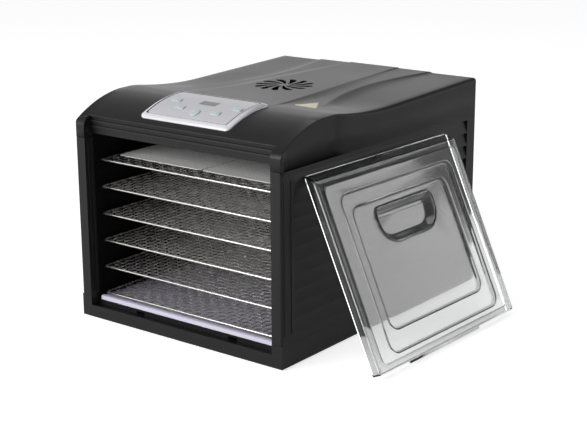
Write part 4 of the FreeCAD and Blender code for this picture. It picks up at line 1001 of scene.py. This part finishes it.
def crimped_strand(bm, start, length, along, radius, pitch, crimp, phase, level):
    """One strand of the woven mesh, four-sided, over and under at every pitch."""
    ring = bmesh.ops.create_circle(bm, cap_ends=True, segments=4, radius=radius)["verts"]
    turn = Matrix.Rotation(math.radians(90), 3, "Y" if along == "x" else "X")
    bmesh.ops.rotate(bm, cent=(0, 0, 0), matrix=turn, verts=ring)
    bmesh.ops.translate(bm, vec=(*start, level), verts=ring)
    steps = round(length / (pitch / 2))
    step = Vector((length / steps, 0, 0)) if along == "x" else Vector((0, length / steps, 0))
    axis = 0 if along == "x" else 1
    cap = list({f for v in ring for f in v.link_faces})
    spun = bmesh.ops.spin(
        bm, geom=cap, cent=(0, 0, 0), axis=(0, 0, 1), dvec=step, angle=0, steps=steps,
        use_merge=False, use_duplicate=False)
    seen = set()
    stack = verts_in(spun["geom_last"])[:1]
    while stack:
        vert = stack.pop()
        if vert not in seen:
            seen.add(vert)
            stack.extend(e.other_vert(vert) for e in vert.link_edges)
    for vert in seen:
        vert.co.z += crimp * math.cos(math.pi * (vert.co[axis] - phase) / pitch)
    return list(seen)


def woven_mesh(bm, low, high, level, racks):
    """Strands both ways, each crossing over one and under the next."""
    pitch, crimp, radius = racks.pitch / MM, racks.crimp / MM, racks.strand / MM / 2
    for along in ("x", "y"):
        axis = 0 if along == "x" else 1
        cross = 1 - axis
        count = int((high[cross] - low[cross]) / pitch)
        spare = (high[cross] - low[cross] - count * pitch) / 2
        first_other = low[axis] + ((high[axis] - low[axis]) % pitch) / 2
        sample = []
        for parity in (0, 1):
            start = [0, 0]
            start[axis] = low[axis]
            start[cross] = low[cross] + spare + parity * pitch
            sign = crimp if (parity + axis) % 2 else -crimp
            sample.append(crimped_strand(
                bm, start, high[axis] - low[axis], along, radius, pitch, sign, first_other, level))
        for index in range(2, count + 1):
            verts = sample[index % 2]
            faces = list({f for v in verts for f in v.link_faces})
            made = bmesh.ops.duplicate(bm, geom=faces)["geom"]
            shift = [0, 0, 0]
            shift[cross] = (index - index % 2) * pitch
            bmesh.ops.translate(bm, vec=shift, verts=verts_in(made))
    bmesh.ops.recalc_face_normals(bm, faces=bm.faces)


class DEHYDRATOR_OT_trays(bpy.types.Operator):
    """Makes the six woven wire trays"""
    bl_idname = "dehydrator.trays"
    bl_label = "Wire trays"

    def execute(self, context):
        racks = context.scene.dehydrator_racks
        low, high = box_mm("tray_frame_1")
        inset = Vector((racks.rod / MM / 2,) * 3)
        frame_mesh = bmesh.new()
        sweep_rod(frame_mesh, low + inset, high - inset, 3.6, racks.rod / MM / 2, 0)
        mesh = bmesh.new()
        woven_mesh(mesh, low + inset * 1.2, high - inset * 1.2, 0, racks)
        for number in range(1, 7):
            low, high = box_mm(f"tray_frame_{number}")
            for kind, source, node in (("rim", frame_mesh, "tray_frame"), ("weave", mesh, "tray_mesh")):
                bm = source.copy()
                bmesh.ops.translate(bm, vec=(0, 0, (low.z + high.z) / 2), verts=bm.verts)
                add_piece(f"tray_{number}_{kind}", bm, ["tray_steel"], f"tray_{number}",
                          [f"{node}_{number}"], crease=60)
        frame_mesh.free()
        mesh.free()
        return {"FINISHED"}


class DEHYDRATOR_OT_drip_tray(bpy.types.Operator):
    """Makes the drip tray under the racks"""
    bl_idname = "dehydrator.drip_tray"
    bl_label = "Drip tray"

    def execute(self, context):
        low, high = box_mm("drip_tray")
        bm = bmesh.new()
        # height, inset and corner radius: up the outside, over the rim and down to the floor
        levels = (
            (low.z, 1.4, 12.0), (low.z + 0.5, 0.3, 12.0), (low.z + 1.4, 0.0, 12.0),
            (high.z - 0.3, 0.2, 12.0), (high.z, 0.8, 11.6), (high.z, 2.2, 10.6),
            (high.z - 0.3, 2.8, 10.0), (high.z - 0.9, 4.0, 9.2), (low.z + 0.9, 5.2, 8.0))
        stack_insets(bm, low, high, levels, 6)
        self.front_lip(bm, low, high)
        tidy(bm)
        add_piece("drip_pan", bm, ["drip_plastic"], "drip_tray", ["drip_tray"])
        return {"FINISHED"}

    def front_lip(self, bm, low, high):
        """The turned-down lip that hangs before the sill, swept from end to end."""
        # height, and how far behind the tray's front
        section = (
            (high.z - 0.9, 2.0), (high.z + 0.2, 1.2), (high.z + 1.0, -2.6), (high.z + 0.9, -5.2),
            (high.z + 0.2, -6.4), (high.z - 4.7, -6.9), (high.z - 4.9, -5.6),
            (high.z - 0.7, -5.1), (high.z - 0.3, -4.0), (low.z + 0.4, -1.6))
        ends = 3.0
        spots = [bm.verts.new((low.x + ends, low.y + out, z)) for z, out in section]
        face = bm.faces.new(spots)
        made = bmesh.ops.extrude_face_region(bm, geom=[face])["geom"]
        bmesh.ops.translate(bm, vec=(high.x - low.x - 2 * ends, 0, 0), verts=verts_in(made))


class DEHYDRATOR_OT_liners(bpy.types.Operator):
    """Makes the two liner sheets that lie on the top tray"""
    bl_idname = "dehydrator.liners"
    bl_label = "Liner sheets"

    def execute(self, context):
        for side in ("left", "right"):
            low, high = box_mm(f"liner_sheet_{side}")
            bm = bmesh.new()
            levels = (
                (low.z, 0.15, 6.0), (low.z + 0.2, 0.0, 6.0), (high.z - 0.2, 0.0, 6.0),
                (high.z, 0.15, 6.0))
            stack_insets(bm, low, high, levels, 5)
            tidy(bm)
            add_piece(f"liner_{side}", bm, ["liner_sheet"], "tray_6",
                      [f"liner_sheet_{side}"])
        return {"FINISHED"}


# ---------------------------------------------------------------- door

def door_turn():
    """How the upright door is turned to lean on the side."""
    door = bpy.context.scene.dehydrator_door
    return Matrix.Rotation(math.pi / 2 + door.yaw, 3, "Z") @ Matrix.Rotation(-door.tilt, 3, "X")


class DEHYDRATOR_OT_door(bpy.types.Operator):
    """Makes the clear door with its steps, pull and lip"""
    bl_idname = "dehydrator.door"
    bl_label = "Clear door"

    HALF = 155.3
    TALL = 248.0
    TAB = 80.0
    TAB_DROP = 4.8
    # inset at the sides, foot and head, corner radius, depth behind the front, shift sideways
    RINGS = (
        (0.0, 0.0, 0.6, 3.0, 2.2),
        (0.35, 0.3, 1.0, 3.5, 1.5),
        (1.2, 1.0, 2.0, 4.0, 1.1),
        (10.0, 7.0, 9.0, 10.0, 1.0),
        (10.8, 7.8, 9.8, 10.0, 0.7),
        (11.6, 8.6, 10.6, 10.0, 0.1),
        (12.4, 9.4, 11.4, 10.0, 0.0),
        (13.6, 10.4, 12.6, 10.0, 0.0),
        (31.0, 14.2, 25.2, 15.4, 0.0, 3.0),
        (32.0, 15.0, 26.0, 15.0, 0.0, 3.0),
        (33.0, 16.0, 27.0, 14.5, 0.4, 3.0),
        (34.2, 17.2, 28.2, 14.0, 3.1, 3.0),
        (35.2, 18.2, 29.2, 13.6, 3.5, 3.0),
        (36.4, 19.4, 30.2, 13.4, 3.5, 3.0),
        (49.0, 40.0, 44.2, 15.2, 3.5, 3.0),
        (50.0, 41.0, 45.0, 15.0, 3.5, 3.0),
        (51.0, 42.0, 46.0, 14.5, 3.9, 3.0),
        (52.2, 43.2, 47.2, 14.0, 6.6, 3.0),
        (53.2, 44.2, 48.2, 13.6, 7.0, 3.0),
        (54.4, 45.4, 49.4, 13.4, 7.0, 3.0),
    )
    # the pull's outline, its corner radii, and how far each of its rings grows and lies back
    PULL = ((-56.0, 143.5), (69.0, 191.0))
    PULL_RADII = (31, 31, 9, 9)
    PULL_RINGS = (
        (3.4, 7.0), (2.4, 7.0), (1.4, 6.6), (0.7, 5.4), (-0.2, 5.0), (-1.0, 5.4), (-1.7, 7.0),
        (-7.5, 14.0), (-9.0, 14.8), (-10.0, 14.8),
    )

    def execute(self, context):
        door = context.scene.dehydrator_door
        rim, lip = door.rim / MM, door.lip / MM
        bm = self.pan(rim, lip)
        self.tab(bm, rim)
        self.latch(bm, rim, lip)
        turn = door_turn()
        bmesh.ops.rotate(bm, cent=(0, 0, 0), matrix=turn, verts=bm.verts)
        low, high = box_mm("door_panel")
        least = Vector(tuple(min(v.co[i] for v in bm.verts) for i in range(3)))
        shift = low - least
        shift.x = high.x - max(v.co.x for v in bm.verts)
        bmesh.ops.translate(bm, vec=shift, verts=bm.verts)
        add_piece("clear_door", bm, ["clear_plastic"], "door", ["door_panel"],
                  crease=30)
        return {"FINISHED"}

    def pan(self, rim, lip):
        """The stepped pan, drawn flat with its depth on Z, given its wall, then stood upright."""
        half, tall = self.HALF, self.TALL

        def loop(side, foot, head, radius, depth, shift=0.0):
            return ((-half + side + shift, foot), (half - side + shift, tall - head), radius, -depth)

        loops = [loop(0.0, 0.0, -lip, 2.5, rim)] + [loop(*ring) for ring in self.RINGS]
        pulls = []
        for grow, depth in self.PULL_RINGS:
            low = tuple(c - grow for c in self.PULL[0])
            high = tuple(c + grow for c in self.PULL[1])
            pulls.append((low, high, tuple(r + max(grow, -6) for r in self.PULL_RADII), -depth))
        bm = bmesh.new()
        outer = stack_loops(bm, loops, 6)
        inner = stack_loops(bm, pulls, 6, cap_last=True)
        bmesh.ops.triangle_fill(bm, use_beauty=True, use_dissolve=False, edges=outer[-1] + inner[0])
        bmesh.ops.remove_doubles(bm, verts=bm.verts, dist=1e-3)
        bmesh.ops.recalc_face_normals(bm, faces=bm.faces)
        if sum(f.normal.z * f.calc_area() for f in bm.faces) < 0:
            bmesh.ops.reverse_faces(bm, faces=bm.faces)
        sheet = bpy.context.scene.dehydrator_door.sheet / MM
        rim_edges = [e for e in bm.edges if e.is_boundary]
        back = bmesh.ops.duplicate(bm, geom=everything(bm))["geom"]
        bm.normal_update()
        for vert, offset in [(v, v.normal * -sheet) for v in verts_in(back)]:
            vert.co += offset
        back_rim = [e for e in edges_in(back) if e.is_boundary]
        bmesh.ops.bridge_loops(bm, edges=rim_edges + back_rim)
        outwards(bm)
        stand = Matrix.Rotation(math.radians(90), 3, "X")
        bmesh.ops.rotate(bm, cent=(0, 0, 0), matrix=stand, verts=bm.verts)
        return bm

    def block(self, bm, low, high, soft):
        """A small block with rounded edges."""
        made = bmesh.ops.create_cube(bm, size=1.0)["verts"]
        bmesh.ops.scale(bm, vec=Vector(high) - Vector(low), verts=made)
        bmesh.ops.translate(bm, vec=(Vector(high) + Vector(low)) / 2, verts=made)
        edges = list({e for v in made for e in v.link_edges})
        bmesh.ops.bevel(bm, geom=edges, offset=soft, offset_type="OFFSET", segments=2, profile=0.5,
                        affect="EDGES", material=-1)

    def tab(self, bm, rim):
        """The tongue under the door's foot, on its back plane."""
        self.block(bm, (-self.TAB, rim - 2.4, -self.TAB_DROP), (self.TAB, rim, -0.05), 0.5)

    def latch(self, bm, rim, lip):
        """The raised strip on the head's lip."""
        known = set(bm.verts)
        self.block(bm, (-27, -0.6, -2.2), (44, 0.6, 2.2), 0.4)
        fresh = [v for v in bm.verts if v not in known]
        slope = math.atan2(lip, rim)
        spin = Matrix.Rotation(slope - math.radians(90), 3, "X")
        bmesh.ops.rotate(bm, cent=(0, 0, 0), matrix=spin, verts=fresh)
        bmesh.ops.translate(bm, vec=(0, rim * 0.6, self.TALL + lip * 0.6 + 0.9), verts=fresh)


# ---------------------------------------------------------------- studio

class DEHYDRATOR_OT_studio(bpy.types.Operator):
    """Sets the pale floor, the soft lights and the camera"""
    bl_idname = "dehydrator.studio"
    bl_label = "Studio"

    SKY = ((0.0, 1.0), (0.30, 1.0), (0.46, 0.22), (1.0, 0.16))  # height of the sky and its grey
    # the sky is bright on the left and dim on the right
    SKY_ACROSS = {"From Min": -0.6, "From Max": 0.5, "To Min": 1.7, "To Max": 0.35}
    FLOOR_GLOW = {"To Min": 0.3, "To Max": 0.75}  # for light that bounces, and to the camera
    TOP_POWER = 12
    # each lamp's place, aim and size, in metres
    LAMPS = (
        ("front_softbox", (-0.5, -2.5, 1.0), (0, 0, 0.12), (1.8, 1.2)),
        ("top_softbox", (0.1, 0.2, 2.4), (0, 0, 0.2), (1.6, 1.6)),
        ("rear_softbox", (2.12, 1.95, 0.66), (1.4, 0.2, 0.3), (1.0, 0.95)),
    )

    def execute(self, context):
        studio = context.scene.dehydrator_studio
        self.floor(studio)
        self.world()
        for lamp, power in zip(self.LAMPS, (studio.key_power, self.TOP_POWER, studio.rear_power)):
            self.lamp(*lamp, power)
        camera = bpy.data.objects.new("camera", bpy.data.cameras.new("camera"))
        context.scene.collection.objects.link(camera)
        camera.data.lens = studio.lens
        camera.data.sensor_width = 36
        camera.location = studio.spot
        camera.rotation_euler = Euler(studio.turn)
        context.scene.camera = camera
        context.scene.view_settings.view_transform = "Standard"
        return {"FINISHED"}

    def floor(self, studio):
        bm = bmesh.new()
        bmesh.ops.create_grid(bm, x_segments=2, y_segments=2, size=9.0)
        mesh = bpy.data.meshes.new("pale_floor")
        bm.to_mesh(mesh)
        bm.free()
        floor = bpy.data.objects.new("pale_floor", mesh)
        bpy.context.scene.collection.objects.link(floor)
        paint = finish("floor_paint", studio.floor, 0.9, contrast=0.01, patch=2, bump=0.0,
                       Specular_IOR_Level=0.0, Emission_Color=(1, 1, 1, 1))
        tree = paint.node_tree
        seen = add_node(tree, "LightPath").outputs["Is Camera Ray"]
        glow = add_node(tree, "MapRange", {"Value": seen, **self.FLOOR_GLOW}).outputs["Result"]
        tree.links.new(glow, tree.nodes["Principled BSDF"].inputs["Emission Strength"])
        mesh.materials.append(paint)

    def world(self):
        world = bpy.data.worlds.new("soft_room")
        bpy.context.scene.world = world
        world.use_nodes = True
        tree = world.node_tree
        back = tree.nodes["Background"]
        direction = add_node(tree, "TexCoord").outputs["Generated"]
        split = add_node(tree, "SeparateXYZ", {0: direction}).outputs
        ramp = add_node(tree, "ValToRGB", {"Fac": split["Z"]})
        stops = ramp.color_ramp.elements
        for index, (height, level) in enumerate(self.SKY):
            stop = stops[0] if index == 0 else stops[-1] if height == 1.0 else stops.new(height)
            stop.position = height
            stop.color = (level, level, level, 1)
        seen = add_node(tree, "LightPath").outputs["Is Camera Ray"]
        white, even = add_node(tree, "RGB").outputs[0], add_node(tree, "Value").outputs[0]
        white.default_value = (1.0, 1.0, 1.0, 1)
        even.default_value = 1.0
        tree.links.new(mixer(tree, "RGBA", seen, ramp.outputs["Color"], white), back.inputs["Color"])
        across = add_node(tree, "MapRange", {"Value": split["X"], **self.SKY_ACROSS})
        power = mixer(tree, "FLOAT", seen, across.outputs["Result"], even)
        tree.links.new(power, back.inputs["Strength"])

    def lamp(self, name, spot, aim, size, power):
        light = bpy.data.lights.new(name, "AREA")
        light.shape = "RECTANGLE"
        light.size, light.size_y = size
        light.energy = power
        lamp = bpy.data.objects.new(name, light)
        bpy.context.scene.collection.objects.link(lamp)
        lamp.location = spot
        lamp.rotation_euler = (Vector(aim) - Vector(spot)).to_track_quat("-Z", "Y").to_euler()


# ---------------------------------------------------------------- add-on

OPERATORS = (
    DEHYDRATOR_OT_studio, DEHYDRATOR_OT_inside, DEHYDRATOR_OT_case, DEHYDRATOR_OT_roof,
    DEHYDRATOR_OT_label, DEHYDRATOR_OT_panel, DEHYDRATOR_OT_trays, DEHYDRATOR_OT_drip_tray,
    DEHYDRATOR_OT_liners, DEHYDRATOR_OT_door,
)


class DEHYDRATOR_PT_sidebar(bpy.types.Panel):
    """Lists the dehydrator's builders"""
    bl_idname = "DEHYDRATOR_PT_sidebar"
    bl_label = "Food dehydrator"
    bl_space_type = "VIEW_3D"
    bl_region_type = "UI"
    bl_category = "Dehydrator"

    def draw(self, context):
        for operator in OPERATORS:
            self.layout.operator(operator.bl_idname)
        for name, look in LOOKS.items():
            group = getattr(context.scene, name)
            column = self.layout.column()
            for prop in look.__annotations__:
                column.prop(group, prop)


def register():
    for look in LOOKS.values():
        bpy.utils.register_class(look)
    for name, look in LOOKS.items():
        setattr(bpy.types.Scene, name, PointerProperty(type=look))
    for operator in OPERATORS:
        bpy.utils.register_class(operator)
    bpy.utils.register_class(DEHYDRATOR_PT_sidebar)


def unregister():
    bpy.utils.unregister_class(DEHYDRATOR_PT_sidebar)
    for operator in reversed(OPERATORS):
        bpy.utils.unregister_class(operator)
    for name, look in LOOKS.items():
        delattr(bpy.types.Scene, name)
        bpy.utils.unregister_class(look)


def main():
    register()
    for operator in OPERATORS:
        group, name = operator.bl_idname.split(".")
        getattr(getattr(bpy.ops, group), name)()


if __name__ == "__main__":
    main()
